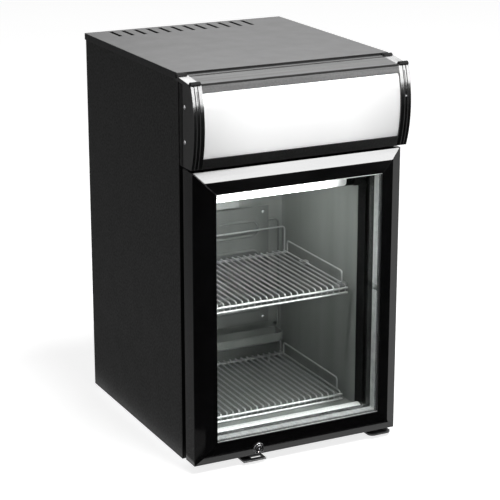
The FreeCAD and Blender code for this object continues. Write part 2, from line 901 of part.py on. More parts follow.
def condenser():
    """Make the tube condenser with the straps and brackets that carry it."""
    tube = size.condenser_tube.number
    reach = (skin - size.condenser_side_gap).number
    low = condenser_low.number
    high = condenser_high.number
    runs = int(size.condenser_runs.number)
    pitch = (high - low) / (runs - 1)
    level = condenser_y.number
    heights = [high - pitch * index for index in range(runs)]
    path = serpentine(-reach, reach, level, heights)
    path[0] = Vector(riser_x.number, level, high)
    path.insert(0, Vector(riser_x.number, level, riser_top.number))
    drier_end = size.drier_length.number / 2
    path[-1] = Vector(drier_end, level, low)
    coil = bent_tube(path, pitch * HAIRPIN_SHARE, tube)
    strap_gauge = size.strap_gauge.number
    strap_front = level - tube / 2 - strap_gauge + size.shelf_weld.number
    width = size.strap_width.number
    bracket = size.bracket_size.number
    wall = duct_front.number
    holders = []
    for side in SIDES.values():
        x = size.strap_shift.number * side - width / 2
        corner = Vector(x, strap_front, low - bracket / 2)
        holders.append(Part.makeBox(width, strap_gauge, high - low + bracket, corner))
        for height in (low, high):
            corner = Vector(x, wall, height - bracket / 2)
            holders.append(Part.makeBox(width, strap_front - wall, bracket, corner))
    shape_piece("condenser", coil.multiFuse(holders).removeSplitter())


def filter_drier():
    """Make the drier at the end of the condenser and the thin tail that goes back into the wall."""
    drier_axis = (condenser_y, condenser_low)
    end = size.drier_length / 2
    shoulder = end - size.drier_taper
    thin = size.condenser_tube
    parts = [round_bar("drier_can", "X", (-shoulder, shoulder), drier_axis, size.drier_diameter)]
    parts.append(round_bar("drier_inlet", "X", (shoulder, end), drier_axis, size.drier_diameter, thin))
    parts.append(round_bar("drier_outlet", "X", (-end, -shoulder), drier_axis, thin, size.drier_diameter))
    tail_x = -end - size.drier_taper
    parts.append(round_bar("drier_tail", "X", (tail_x, -end), drier_axis, thin))
    parts.append(round_bar("drier_return", "Y", (duct_front, condenser_y), (tail_x, condenser_low), thin))
    keep(fuse("filter_drier", *parts))


def discharge_line():
    """Make the hot-gas tube from the compressor to the top of the condenser."""
    tube = size.condenser_tube.number
    start_x = (compressor_x - size.compressor_length / 2).number
    height = (compressor_low + compressor_height * OUTLET_SHARE).number
    x = riser_x.number
    path = [
        Vector(start_x, compressor_y.number, height),
        Vector(x, compressor_y.number, height),
        Vector(x, condenser_y.number, height),
        Vector(x, condenser_y.number, riser_top.number),
    ]
    shape_piece("discharge_line", bent_tube(path, tube * BEND_SHARE, tube))


def cord_gland():
    """Make the gland of the supply cord in the rear cover."""
    axis = (size.gland_side_gap - half, deck + size.rear_cover_lift + size.gland_lift)
    outside = back - size.sheet_gauge
    inside = outside - size.sheet_gauge
    lid_back = back + size.cover_gauge
    flange = round_bar("gland_flange", "Y", (outside, lid_back), axis, size.gland_flange)
    neck = round_bar("gland_neck", "Y", (inside, outside), axis, size.gland_neck)
    nut = round_bar("gland_nut", "Y", (inside - size.gland_nut, inside), axis, size.gland_flange)
    recess = (lid_back - size.gland_bore_depth, lid_back)
    bore = round_bar("gland_bore", "Y", recess, axis, size.gland_bore)
    keep(cut("cord_gland", fuse("gland_blank", flange, neck, nut), bore))


# Canopy

canopy_half = half + size.canopy_overhang
cap_inner = canopy_half - size.cap_width
canopy_low = deck + size.canopy_gap
canopy_rear_high = top - size.canopy_drop
canopy_high = canopy_rear_high - size.canopy_rise
chord_half = (canopy_high - canopy_low) / 2
canopy_middle = canopy_low + chord_half
crown_radius = (chord_half * chord_half + size.canopy_crown * size.canopy_crown) / (size.canopy_crown * 2)
crown_centre = front - size.canopy_reach + crown_radius
canopy_tip = front - size.canopy_reach + size.canopy_crown
tray_front = front - size.tray_depth
sign_low = canopy_low + size.sign_low_margin
sign_high = canopy_high - size.sign_high_margin
screw_places = [(front - size.screw_set_back, canopy_low + size.screw_low_margin),
                (front - size.screw_set_back, canopy_high - size.screw_high_margin)]


def canopy_face(height, inset):
    """Give the Y of the canopy's curved face at a height, set in by a distance."""
    radius = crown_radius - inset
    rise = height - canopy_middle
    return crown_centre - (radius * radius - rise * rise).root()


def canopy_caps():
    """Make the moulded end caps with their rear arms, grooved bands, ridges and screw holes."""
    rear = tray_front
    arm_rear = front - size.canopy_seam
    arm_low = canopy_rear_high - size.cap_arm
    for name, side in SIDES.items():
        body = doc.addObject("PartDesign::Body", f"canopy_cap_{name}")
        low_x, high_x = mirrored(side, cap_inner, canopy_half)
        face = (
            (canopy_tip, canopy_low), (rear, canopy_low), (rear, arm_low), (arm_rear, arm_low),
            (arm_rear, canopy_rear_high), (canopy_tip, canopy_high, crown_radius),
        )
        pad(body, outline(body, "YZ_Plane", low_x, *face), size.cap_width)
        ridge_rear = (arm_rear - size.ridge_inset, canopy_rear_high - size.ridge_inset / 2)
        ridge_front = (canopy_tip + size.ridge_inset, canopy_high - size.ridge_inset / 2)
        for centre in (ridge_rear, ridge_front):
            pad(body, disc(body, "YZ_Plane", low_x, centre, size.ridge_diameter), size.cap_width)
        deep = size.groove_depth
        margin = size.ridge_diameter * 2
        high, low = canopy_high - margin, canopy_low + margin
        outer, floor_of_groove = -deep, deep
        groove = (
            (canopy_face(high, outer), high, crown_radius + deep), (canopy_face(low, outer), low),
            (canopy_face(low, floor_of_groove), low, deep - crown_radius),
            (canopy_face(high, floor_of_groove), high),
        )
        middle = (low_x + high_x) / 2 + size.groove_width / 2
        pocket(body, outline(body, "YZ_Plane", middle, *groove), size.groove_width)
        for centre in screw_places:
            hole = disc(body, "YZ_Plane", high_x, centre, size.screw_shank + size.pin_gap * 2)
            pocket(body, hole, size.cap_width)
        keep(body)


def canopy_screws():
    """Make the two screws in each cheek."""
    screws = []
    for name, side in SIDES.items():
        for row, centre in enumerate(screw_places):
            head_x = mirrored(side, canopy_half, canopy_half + size.screw_proud)
            shank_x = mirrored(side, canopy_half - size.screw_length, canopy_half)
            head = round_bar(f"screw_head_{name}_{row}", "X", head_x, centre, size.screw_head)
            shank = round_bar(f"screw_shank_{name}_{row}", "X", shank_x, centre, size.screw_shank)
            screws.append(fuse(f"screw_{name}_{row}", head, shank))
    keep(group("canopy_screws", *screws))


def canopy_strips():
    """Make the black profiles above and below the sign."""
    gauge = size.strip_gauge
    rear = front - size.canopy_seam
    upper = (
        (canopy_face(sign_high, Size.of(0)), sign_high),
        (canopy_face(sign_high, gauge), sign_high, gauge - crown_radius),
        (canopy_face(canopy_high - gauge, gauge), canopy_high - gauge), (rear, canopy_rear_high - gauge),
        (rear, canopy_rear_high), (canopy_tip, canopy_high, crown_radius),
    )
    lower = (
        (canopy_tip, canopy_low), (tray_front, canopy_low), (tray_front, canopy_low + gauge),
        (canopy_face(canopy_low + gauge, gauge), canopy_low + gauge, gauge - crown_radius),
        (canopy_face(sign_low, gauge), sign_low),
        (canopy_face(sign_low, Size.of(0)), sign_low, crown_radius),
    )
    for name, section in (("canopy_top_strip", upper), ("canopy_bottom_strip", lower)):
        body = doc.addObject("PartDesign::Body", name)
        pad(body, outline(body, "YZ_Plane", -cap_inner, *section), cap_inner * 2)
        keep(body)


def sign_panel():
    """Make the convex translucent panel, lapped behind both strips."""
    body = doc.addObject("PartDesign::Body", "sign_panel")
    low = sign_low - size.sign_lap
    high = sign_high + size.sign_lap
    outside = size.sign_inset
    inside = outside + size.sign_gauge
    section = (
        (canopy_face(high, outside), high, crown_radius - outside), (canopy_face(low, outside), low),
        (canopy_face(low, inside), low, inside - crown_radius), (canopy_face(high, inside), high),
    )
    pad(body, outline(body, "YZ_Plane", -cap_inner, *section), cap_inner * 2)
    keep(body)


def canopy_tray():
    """Make the channel that carries the canopy, and the lamp tube in front of it."""
    wide = (-half, half)
    low = canopy_low + size.tray_margin
    high = canopy_high - size.tray_margin
    gauge = size.tray_gauge
    web = block("tray_web", wide, (tray_front, tray_front + gauge), (low, high))
    foot = block("tray_low_flange", wide, (tray_front + gauge, front), (low, low + gauge))
    head = block("tray_high_flange", wide, (tray_front + gauge, front), (high - gauge, high))
    keep(fuse("canopy_tray", web, foot, head))
    tube_axis = (front - size.tube_set_back, canopy_middle)
    reach = cap_inner - size.tube_end_gap
    parts = [round_bar("lamp_tube", "X", (-reach, reach), tube_axis, size.tube_diameter)]
    for name, side in SIDES.items():
        end = mirrored(side, reach - size.tube_holder, reach)
        stand = (tube_axis[0] - size.tube_diameter / 2, tray_front)
        parts.append(block(f"tube_holder_{name}", end, stand, about(canopy_middle, size.tube_holder_height)))
    keep(fuse("canopy_lamp", *parts))


# Door

door_half = half
door_low = base + size.door_lift
door_high = deck - size.door_top_gap
door_back = front - size.gasket_depth
door_edge = door_back - size.rail_depth
door_crease = door_edge - size.bevel_rise
door_nose = door_crease - size.rail_rise
lip_back = door_nose + size.lip_gauge
outer_back = lip_back + size.pane_gauge
inner_front = outer_back + size.pane_gap
pane_back = inner_front + size.pane_gauge
pane_seat = size.rail_width - size.pane_lap
hinge_x = door_half - size.hinge_inset
hinge_y = door_back - size.rail_depth / 2
lock_x = size.lock_shift
lock_z = base + size.lock_height
lock_seat = door_nose + size.lock_depth
cam_front = lock_seat + size.cam_play * 2
cam_back = cam_front + size.cam_gauge


def rail_section():
    """Give the rail's section as distances in from the door's outer edge and places in depth."""
    pocket_edge = pane_seat - size.pane_play
    return (
        (Size.of(0), door_back), (Size.of(0), door_edge), (size.bevel_width, door_crease),
        (size.rail_width, door_nose), (size.rail_width, lip_back), (pocket_edge, lip_back),
        (pocket_edge, pane_back), (size.rail_width, pane_back), (size.rail_width, door_back),
    )


def mitre(body, *corners):
    """Cut a corner off a rail at 45 degrees, right through its depth."""
    pocket(body, outline(body, "XZ_Plane", -door_nose, *corners), door_back - door_nose)


def pin_bore(body, low_end):
    """Bore the hinge hole into a rail from the door's lower or upper end."""
    level = door_low if low_end else door_high
    hole = disc(body, "XY_Plane", level, (hinge_x, hinge_y), size.pin_diameter + size.pin_gap * 2)
    pocket(body, hole, size.pin_reach + size.pin_end_gap, upward=low_end)


def lock_bores(body):
    """Bore the bottom rail for the lock and slot it for the cam."""
    level = -door_nose
    face = disc(body, "XZ_Plane", level, (lock_x, lock_z), size.lock_face + size.fit_gap * 2)
    pocket(body, face, size.lock_depth)
    plug = disc(body, "XZ_Plane", level, (lock_x, lock_z), size.lock_plug + size.pin_gap * 2)
    pocket(body, plug, cam_front - door_nose)
    left = lock_x - size.cam_width / 2 - size.cam_play
    right = lock_x + size.cam_length + size.cam_play
    near = cam_front - size.cam_play
    far = cam_back + size.cam_play
    slot = outline(body, "XY_Plane", door_low, (left, near), (right, near), (right, far), (left, far))
    pocket(body, slot, lock_z + size.cam_width / 2 + size.cam_play - door_low, upward=True)


def door_rails():
    """Make the four mitred rails."""
    wide = size.rail_width
    for name, level, way in (("door_bottom_rail", door_low, 1), ("door_top_rail", door_high, -1)):
        body = doc.addObject("PartDesign::Body", name)
        section = [(depth, level + across * way) for across, depth in rail_section()]
        pad(body, outline(body, "YZ_Plane", -door_half, *section), door_half * 2)
        inside = level + wide * way
        for side in SIDES.values():
            outer_x = door_half * side
            inner_x = (door_half - wide) * side
            mitre(body, (outer_x, level), (outer_x, inside), (inner_x, inside))
        pin_bore(body, low_end=way > 0)
        if way > 0:
            lock_bores(body)
        keep(body)
    for name, side in SIDES.items():
        body = doc.addObject("PartDesign::Body", f"door_{name}_stile")
        section = [((door_half - across) * side, depth) for across, depth in rail_section()]
        pad(body, outline(body, "XY_Plane", door_low, *section), door_high - door_low)
        outer_x = door_half * side
        inner_x = (door_half - wide) * side
        for level, way in ((door_low, 1), (door_high, -1)):
            mitre(body, (outer_x, level), (inner_x, level), (inner_x, level + wide * way))
        if side > 0:
            pin_bore(body, low_end=True)
            pin_bore(body, low_end=False)
        keep(body)


def ring(name, inset, width, y):
    """Make a rectangular ring set in from the door's outer edge."""
    inside = inset + width
    blank = block(f"{name}_blank", (inset - door_half, door_half - inset), y,
                  (door_low + inset, door_high - inset))
    hole = block(f"{name}_hole", (inside - door_half, door_half - inside), y,
                 (door_low + inside, door_high - inside))
    return keep(cut(name, blank, hole))


def glazing():
    """Make the two panes, the spacer between them and the gasket behind the door."""
    wide = (pane_seat - door_half, door_half - pane_seat)
    tall = (door_low + pane_seat, door_high - pane_seat)
    keep(block("outer_pane", wide, (lip_back, outer_back), tall))
    keep(block("inner_pane", wide, (inner_front, pane_back), tall))
    spacer_inset = size.rail_width + size.spacer_show - size.spacer_width
    ring("pane_spacer", spacer_inset, size.spacer_width, (outer_back, inner_front))
    ring("door_gasket", size.gasket_inset, size.gasket_width, (door_back, front - size.seat_gap))


def hinges():
    """Make both hinge brackets with their pins, and the bushes that the door turns on."""
    plate_top = base - size.hinge_drop + size.hinge_gauge
    right = half - size.hinge_edge
    x = (right - size.hinge_length, right)
    near = front - size.hinge_reach
    far = front + size.hinge_tail
    body = doc.addObject("PartDesign::Body", "lower_hinge")
    plate = rounded(x, (near, far), size.hinge_corner)
    pad(body, outline(body, "XY_Plane", base - size.hinge_drop, *plate), size.hinge_gauge)
    seat = rounded(x, (front + size.sheet_gauge, far), size.hinge_corner)
    pad(body, outline(body, "XY_Plane", plate_top, *seat), base - plate_top)
    pin = disc(body, "XY_Plane", plate_top, (hinge_x, hinge_y), size.pin_diameter)
    pad(body, pin, door_low + size.pin_reach - plate_top)
    keep(body)

    upper_low = deck
    upper_high = upper_low + size.upper_hinge_gauge
    leg = (front - size.upper_hinge_gauge, front)
    flat = block("upper_hinge_flat", x, (front - size.upper_hinge_reach, front), (upper_low, upper_high))
    upright = block("upper_hinge_leg", x, leg, (upper_high, upper_low + size.upper_hinge_leg))
    upper_pin = round_bar("upper_hinge_pin", "Z", (door_high - size.pin_reach, upper_low),
                          (hinge_x, hinge_y), size.pin_diameter)
    keep(fuse("upper_hinge", flat, upright, upper_pin))

    bushes = []
    for name, span in (("lower", (plate_top, door_low)), ("upper", (door_high + size.seat_gap, upper_low))):
        blank = round_bar(f"{name}_bush_blank", "Z", span, (hinge_x, hinge_y), size.bush_diameter)
        bore_diameter = size.pin_diameter + size.pin_gap * 2
        bore = round_bar(f"{name}_bush_bore", "Z", span, (hinge_x, hinge_y), bore_diameter)
        bushes.append(cut(f"{name}_bush", blank, bore))
    keep(group("hinge_bushes", *bushes))


def lock():
    """Make the lock's housing, its plug with a key slot, its cam and the strike plate below."""
    axis = (lock_x, lock_z)
    barrel = (door_nose, lock_seat)
    blank = round_bar("lock_housing_blank", "Y", barrel, axis, size.lock_face)
    bore = round_bar("lock_housing_bore", "Y", barrel, axis, size.lock_plug + size.pin_gap * 2)
    keep(cut("lock_housing", blank, bore))
    face = door_nose - size.plug_proud
    plug = round_bar("lock_plug_blank", "Y", (face, cam_front), axis, size.lock_plug)
    key = block("key_slot", about(lock_x, size.key_slot_width), (face, face + size.key_slot_depth),
                about(lock_z, size.key_slot_length))
    keep(cut("lock_plug", plug, key))
    cam = doc.addObject("PartDesign::Body", "lock_cam")
    low, high = about(lock_z, size.cam_width)
    tip = lock_x + size.cam_length
    round_end = size.cam_width / 2
    edge = (
        (lock_x, low), (tip, low), (tip, high), (lock_x, high, round_end),
        (lock_x - round_end, lock_z, round_end),
    )
    pad(cam, outline(cam, "XZ_Plane", -cam_back, *edge), size.cam_gauge)
    keep(cam)
    strike_low = base - size.strike_drop
    strike_top = strike_low + size.strike_gauge
    x = (lock_x - size.strike_left, lock_x + size.strike_right)
    near = front - size.strike_reach
    far = front + size.hinge_tail
    plate = block("strike_plate", x, (near, far), (strike_low, strike_top))
    seat = block("strike_seat", x, (front + size.sheet_gauge, far), (strike_top, base))
    slot_x = (lock_x - size.strike_slot_left, lock_x + size.strike_slot_right)
    slot_y = (cam_front - size.cam_play * 2, cam_back + size.cam_play * 2)
    slot = block("strike_slot", slot_x, slot_y, (strike_low, strike_top))
    keep(cut("lock_strike", fuse("strike_blank", plate, seat), slot))


def write_parts():
    """Check every object, then write one file per piece."""
    doc.recompute()
    failed = [thing.Label for thing in doc.Objects if {"Invalid", "Error"} & set(thing.State)]
    failed += [piece.Label for piece in NODES if piece.Shape.isNull() or not piece.Shape.isValid()]
    pockets = [thing for thing in doc.Objects if thing.TypeId == "PartDesign::Pocket"]
    failed += [thing.Label for thing in pockets
               if thing.BaseFeature.Shape.Volume - thing.Shape.Volume < LEAST_CUT]
    if failed:
        raise RuntimeError("failed pieces: " + ", ".join(failed))
    os.makedirs("parts", exist_ok=True)
    for piece in NODES:
        piece.Shape.exportStep(f"parts/{piece.Label}.step")
        print(f"{piece.Label}: {len(piece.Shape.Solids)} solid(s), {piece.Shape.Volume / 1000:.2f} cm3")
    print(len(NODES), "pieces")


for build in (
    side_panels, top_cover, flat_sheets, rear_cover, insulation, liner, mouth, feet,
    evaporator, suction_line, drip_gutter, light_bar, thermostat, shelves,
    compressor, lamp_driver, condenser, filter_drier, discharge_line, cord_gland,
    canopy_caps, canopy_screws, canopy_strips, sign_panel, canopy_tray,
    door_rails, glazing, hinges, lock,
):
    build()
write_parts()
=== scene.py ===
"""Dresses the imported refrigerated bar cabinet: its finishes, small fittings, studio and camera."""

import json
import logging
import math
from collections.abc import Sequence
from dataclasses import dataclass
from enum import Enum
from itertools import product

import bmesh
import bpy
from mathutils import Matrix, Vector

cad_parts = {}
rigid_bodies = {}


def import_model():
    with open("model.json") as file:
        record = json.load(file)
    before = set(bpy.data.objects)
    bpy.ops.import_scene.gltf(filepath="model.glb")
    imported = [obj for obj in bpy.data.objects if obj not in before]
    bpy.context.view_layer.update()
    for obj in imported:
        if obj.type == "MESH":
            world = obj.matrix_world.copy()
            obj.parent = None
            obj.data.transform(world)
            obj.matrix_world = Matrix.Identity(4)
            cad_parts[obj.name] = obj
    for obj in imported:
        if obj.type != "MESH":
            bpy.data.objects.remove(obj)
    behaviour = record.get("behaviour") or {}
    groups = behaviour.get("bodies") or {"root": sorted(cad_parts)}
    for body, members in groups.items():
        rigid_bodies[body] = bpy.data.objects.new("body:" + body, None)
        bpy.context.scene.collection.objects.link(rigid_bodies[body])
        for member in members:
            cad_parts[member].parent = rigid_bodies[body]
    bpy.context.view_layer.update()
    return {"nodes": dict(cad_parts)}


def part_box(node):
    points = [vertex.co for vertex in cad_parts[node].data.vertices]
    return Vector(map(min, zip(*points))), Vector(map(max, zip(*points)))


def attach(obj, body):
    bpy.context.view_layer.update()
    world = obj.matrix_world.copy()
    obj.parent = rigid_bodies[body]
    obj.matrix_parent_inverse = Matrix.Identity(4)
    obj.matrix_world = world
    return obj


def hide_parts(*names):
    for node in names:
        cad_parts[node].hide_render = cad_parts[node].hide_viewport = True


for spare in list(bpy.data.objects):
    bpy.data.objects.remove(spare)
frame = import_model()

LOG = logging.getLogger("bar_cabinet")
MM = 0.001
Colour = tuple[float, float, float]
Pair = tuple[float, float]
Place = tuple[float, float, float]
Socket = bpy.types.NodeSocket
Source = Socket | float | tuple[float, ...]
Form = bmesh.types.BMesh
Ring = list[bmesh.types.BMVert]

# Sockets of a colour mix node: its share and its two colours, and its result
MIX_INPUTS = (0, 6, 7)
MIX_RESULT = 2


class Body(Enum):
    """The bodies that pieces move with."""

    CABINET = "cabinet"
    DOOR = "door"
    LOCK = "lock"
    KNOB = "knob"


class Slot(Enum):
    """The material slots of the record."""

    BLACK_SHEET = "black_sheet"
    GREY_SHEET = "grey_sheet"
    BLACK_PLASTIC = "black_plastic"
    DARK_PLASTIC = "dark_plastic"
    GREY_PLASTIC = "grey_plastic"
    SIGN_WHITE = "sign_white"
    LAMP_WHITE = "lamp_white"
    ALUMINIUM = "aluminium"
    GLASS = "glass"
    WIRE = "wire"
    BRIGHT_METAL = "bright_metal"
    RUBBER = "rubber"
    FOAM = "foam"
    COPPER = "copper"


class Grain(Enum):
    """The way that the fine lines of a brushed metal run, as the stretch of its texture."""

    ACROSS = (3.0, 900.0, 900.0)
    UPRIGHT = (900.0, 900.0, 3.0)


class Recess(Enum):
    """The recess in the head of a screw or the face of a lock plug."""

    CROSS = "cross"
    SLOT = "slot"


# Finishes


class Graph:
    """The nodes of one material, with short calls for the textures that the finishes share."""

    def __init__(self, name: str) -> None:
        """Start a material that is textured by the places on the piece itself.

        Args:
            name: the name of the material.
        """
        self.material = bpy.data.materials.new(name)
        self.material.use_nodes = True
        self.nodes = self.material.node_tree.nodes
        self.links = self.material.node_tree.links
        self.shader = self.nodes["Principled BSDF"]
        self.place = self.nodes.new("ShaderNodeTexCoord").outputs["Object"]
        self.relief: Socket | None = None

    def fix(self, socket: str, value: float | Colour) -> None:
        """Set a value that is the same all over the surface.

        Args:
            socket: the name of the shader's socket.
            value: a number or a colour.
        """
        whole = (*value, 1.0) if isinstance(value, tuple) else value
        self.shader.inputs[socket].default_value = whole

    def feed(self, source: Socket, socket: str) -> None:
        """Link a texture to one of the shader's sockets."""
        self.links.new(source, self.shader.inputs[socket])

    def fed(self, socket: str) -> Socket:
        """Give the texture that one of the shader's sockets has been linked to."""
        return self.shader.inputs[socket].links[0].from_socket

    def node(self, kind: str, *sources: tuple[int | str, Source]) -> bpy.types.Node:
        """Add a node and fill its inputs.

        Args:
            kind: the type of the node.
            sources: pairs of an input and what it takes, a socket, a number or a row of numbers.

        Returns:
            The new node.
        """
        made = self.nodes.new(kind)
        for key, source in sources:
            if isinstance(source, Socket):
                self.links.new(source, made.inputs[key])
            else:
                made.inputs[key].default_value = source
        return made

    def calc(self, operation: str, *values: Socket | float) -> Socket:
        """Work out a value from others.

        Args:
            operation: the kind of sum.
            values: what goes into it, sockets or numbers.

        Returns:
            A socket with the result.
        """
        made = self.node("ShaderNodeMath", *enumerate(values))
        made.operation = operation
        return made.outputs[0]

    def axes(self) -> bpy.types.NodeOutputs:
        """Give the place on the piece as its X, Y and Z."""
        return self.node("ShaderNodeSeparateXYZ", ("Vector", self.place)).outputs

    def noise(self, scale: float, detail: float = 3.0, stretch: Place | None = None) -> Socket:
        """Give a cloudy texture.

        Args:
            scale: how many clouds there are to the metre.
            detail: how many finer layers it has.
            stretch: a stretch along X, Y and Z, for streaks.

        Returns:
            A socket from 0 to 1.
        """
        place = self.place
        if stretch:
            place = self.node("ShaderNodeMapping", ("Vector", place), ("Scale", stretch)).outputs["Vector"]
        made = self.node("ShaderNodeTexNoise", ("Vector", place), ("Scale", scale), ("Detail", detail))
        return made.outputs["Fac"]

    def cells(self, scale: float) -> Socket:
        """Give a texture of flat crystal cells, so many to the metre."""
        made = self.node("ShaderNodeTexVoronoi", ("Vector", self.place), ("Scale", scale))
        return self.node("ShaderNodeSeparateColor", ("Color", made.outputs["Color"])).outputs["Red"]

    def spread(self, source: Socket, low: float, high: float, start: float = 0.3, end: float = 0.7) -> Socket:
        """Spread a texture over a range of values.

        Args:
            source: the texture.
            low: the value at its start.
            high: the value at its end.
            start: where the texture starts to count.
            end: where it stops counting.

        Returns:
            A socket from low to high.
        """
        made = self.node("ShaderNodeMapRange", ("Value", source), ("From Min", start), ("From Max", end),
                         ("To Min", low), ("To Max", high))
        return made.outputs["Result"]

    def tint(self, source: Socket, first: Colour, second: Colour,
             start: float = 0.35, end: float = 0.65) -> Socket:
        """Run from one colour to another along a texture.

        Args:
            source: the texture.
            first: the colour up to the start.
            second: the colour from the end on.
            start: where the first colour ends.
            end: where the second colour begins.

        Returns:
            A colour socket.
        """
        ramp = self.node("ShaderNodeValToRGB", ("Fac", source))
        for stop, place, colour in zip(ramp.color_ramp.elements, (start, end), (first, second)):
            stop.position = place
            stop.color = (*colour, 1.0)
        return ramp.outputs["Color"]

    def blend(self, share: Socket, first: Socket, second: Socket) -> Socket:
        """Mix two colour sockets by a share.

        Args:
            share: how much of the second colour there is.
            first: a colour.
            second: another colour.

        Returns:
            The mixed colour.
        """
        made = self.nodes.new("ShaderNodeMix")
        made.data_type = "RGBA"
        for source, key in zip((share, first, second), MIX_INPUTS):
            self.links.new(source, made.inputs[key])
        return made.outputs[MIX_RESULT]

    def edges(self, start: float = 0.53, end: float = 0.60) -> Socket:
        """Give a mask of the outer edges, where wear shows and where the coated sheets also take a painted
        highlight.
        """
        shape = self.nodes.new("ShaderNodeNewGeometry")
        return self.spread(shape.outputs["Pointiness"], 0.0, 1.0, start, end)

    def bump(self, source: Socket, depth: float) -> None:
        """Raise the surface by a texture, over what raised it before.

        Args:
            source: the texture.
            depth: how high it stands, in metres.
        """
        made = self.node("ShaderNodeBump", ("Height", source), ("Distance", depth), ("Strength", 1.0))
        if self.relief:
            self.links.new(self.relief, made.inputs["Normal"])
        self.relief = made.outputs["Normal"]
        self.feed(self.relief, "Normal")


MADE: dict[str, bpy.types.Material] = {}


@dataclass(frozen=True)
class Finish:
    """A finish with its name, its slot in the record and its main colour."""

    name: str
    slot: Slot
    colour: Colour

    def dress(self, graph: Graph) -> None:
        """Lay the finish on a material; each kind of finish does it in its own way.

        Args:
            graph: the nodes of the material.
        """
        raise NotImplementedError

    def material(self) -> bpy.types.Material:
        """Give the material, made at its first use.

        Returns:
            The material of this finish.
        """
        if self.name not in MADE:
            graph = Graph(self.name)
            self.dress(graph)
            MADE[self.name] = graph.material
        return MADE[self.name]

    def shade(self, share: float) -> Colour:
        """Give the colour made lighter or darker by a share."""
        return tuple(min(1.0, part * share) for part in self.colour)

    def shades(self, shares: Pair) -> tuple[Colour, ...]:
        """Give the shades of the colour by two shares."""
        return tuple(self.shade(share) for share in shares)


@dataclass(frozen=True)
class CoatedSheet(Finish):
    """Sheet steel with a baked powder coat: fine orange peel, cloudy sheen, and pale outer edges that are
    partly worn paint and partly a painted highlight.
    """

    roughness: Pair = (0.4, 0.5)
    specular: float = 0.5
    peel: float = 1.1 * MM
    depth: float = 0.02 * MM
    # colour of the outer edges: partly worn paint, partly a painted highlight
    worn_and_lit_edge: Colour = (0.06, 0.06, 0.06)
    clouds: float = 14.0
    cloud_shades: Pair = (0.82, 1.18)
    rubs: float = 240.0
    worn_and_lit_shade: float = 1.6
    sheen: float = 26.0

    def dress(self, graph: Graph) -> None:
        """Lay on the coat, its peel, its clouds and its pale outer edges, partly worn paint and partly
        painted highlight.

        Args:
            graph: the nodes of the material.
        """
        coat = graph.tint(graph.noise(self.clouds), *self.shades(self.cloud_shades))
        # pale edge colour: worn paint together with a painted highlight along the edges
        bare = graph.tint(graph.noise(self.rubs), self.shade(self.worn_and_lit_shade), self.worn_and_lit_edge)
        graph.feed(graph.blend(graph.edges(), coat, bare), "Base Color")
        graph.feed(graph.spread(graph.noise(self.sheen, detail=5.0), *self.roughness), "Roughness")
        graph.fix("Specular IOR Level", self.specular)
        graph.bump(graph.noise(1.0 / self.peel, detail=2.0), self.depth)


@dataclass(frozen=True)
class MouldedPlastic(Finish):
    """Moulded or extruded plastic: faint flow clouds, fine handling scratches, a little grain."""

    roughness: Pair = (0.3, 0.4)
    specular: float = 0.5
    grain: float = 0.8 * MM
    depth: float = 0.01 * MM
    stretch: Place = (60.0, 60.0, 60.0)
    clouds: float = 18.0
    cloud_shades: Pair = (0.85, 1.15)
    rubs: float = 300.0
    rub_shades: Pair = (1.3, 2.2)
    rub_edges: Pair = (0.54, 0.64)

    def dress(self, graph: Graph) -> None:
        """Lay on the colour, its grain and the marks of use.

        Args:
            graph: the nodes of the material.
        """
        flow = graph.tint(graph.noise(self.clouds), *self.shades(self.cloud_shades))
        worn = graph.tint(graph.noise(self.rubs), *self.shades(self.rub_shades))
        graph.feed(graph.blend(graph.edges(*self.rub_edges), flow, worn), "Base Color")
        scratches = graph.noise(1.0, detail=4.0, stretch=self.stretch)
        graph.feed(graph.spread(scratches, *self.roughness), "Roughness")
        graph.fix("Specular IOR Level", self.specular)
        graph.bump(graph.noise(1.0 / self.grain, detail=2.0), self.depth)


@dataclass(frozen=True)
class CapPlastic(MouldedPlastic):
    """The moulded plastic of the end caps: a grained cheek, and a polished band with fine grooves."""

    cheek: float = 205.3 * MM
    cheek_fade: float = 0.2 * MM
    satin: float = 0.5
    leather: float = 400.0
    leather_shades: Pair = (2.88, 4.32)
    crown: float = 689.5 * MM
    crown_fade: float = 1 * MM
    grooves: tuple[float, ...] = (193.4 * MM, 199.6 * MM)
    groove: float = 0.8 * MM
    groove_flat: float = 0.48 * MM
    groove_depth: float = 0.6 * MM

    def dress(self, graph: Graph) -> None:
        """Lay on the plain plastic, then the grain of the cheek and the grooves of the band.

        Args:
            graph: the nodes of the material.
        """
        super().dress(graph)
        axes = graph.axes()
        side = graph.calc("ABSOLUTE", axes["X"])
        outside = graph.spread(side, 0.0, 1.0, self.cheek - self.cheek_fade, self.cheek)
        matt = graph.spread(outside, 0.0, self.satin, 0.0, 1.0)
        grained = graph.tint(graph.noise(self.leather), *self.shades(self.leather_shades))
        graph.feed(graph.blend(outside, graph.fed("Base Color"), grained), "Base Color")
        front = graph.spread(axes["Z"], 1.0, 0.0, self.crown - self.crown_fade, self.crown)
        for place in self.grooves:
            away = graph.calc("ABSOLUTE", graph.calc("SUBTRACT", side, place))
            line = graph.spread(away, 1.0, 0.0, self.groove_flat, self.groove)
            mark = graph.calc("MULTIPLY", line, front)
            graph.bump(mark, -self.groove_depth)
            matt = graph.calc("MAXIMUM", matt, mark)
        graph.feed(graph.calc("MAXIMUM", graph.fed("Roughness"), matt), "Roughness")


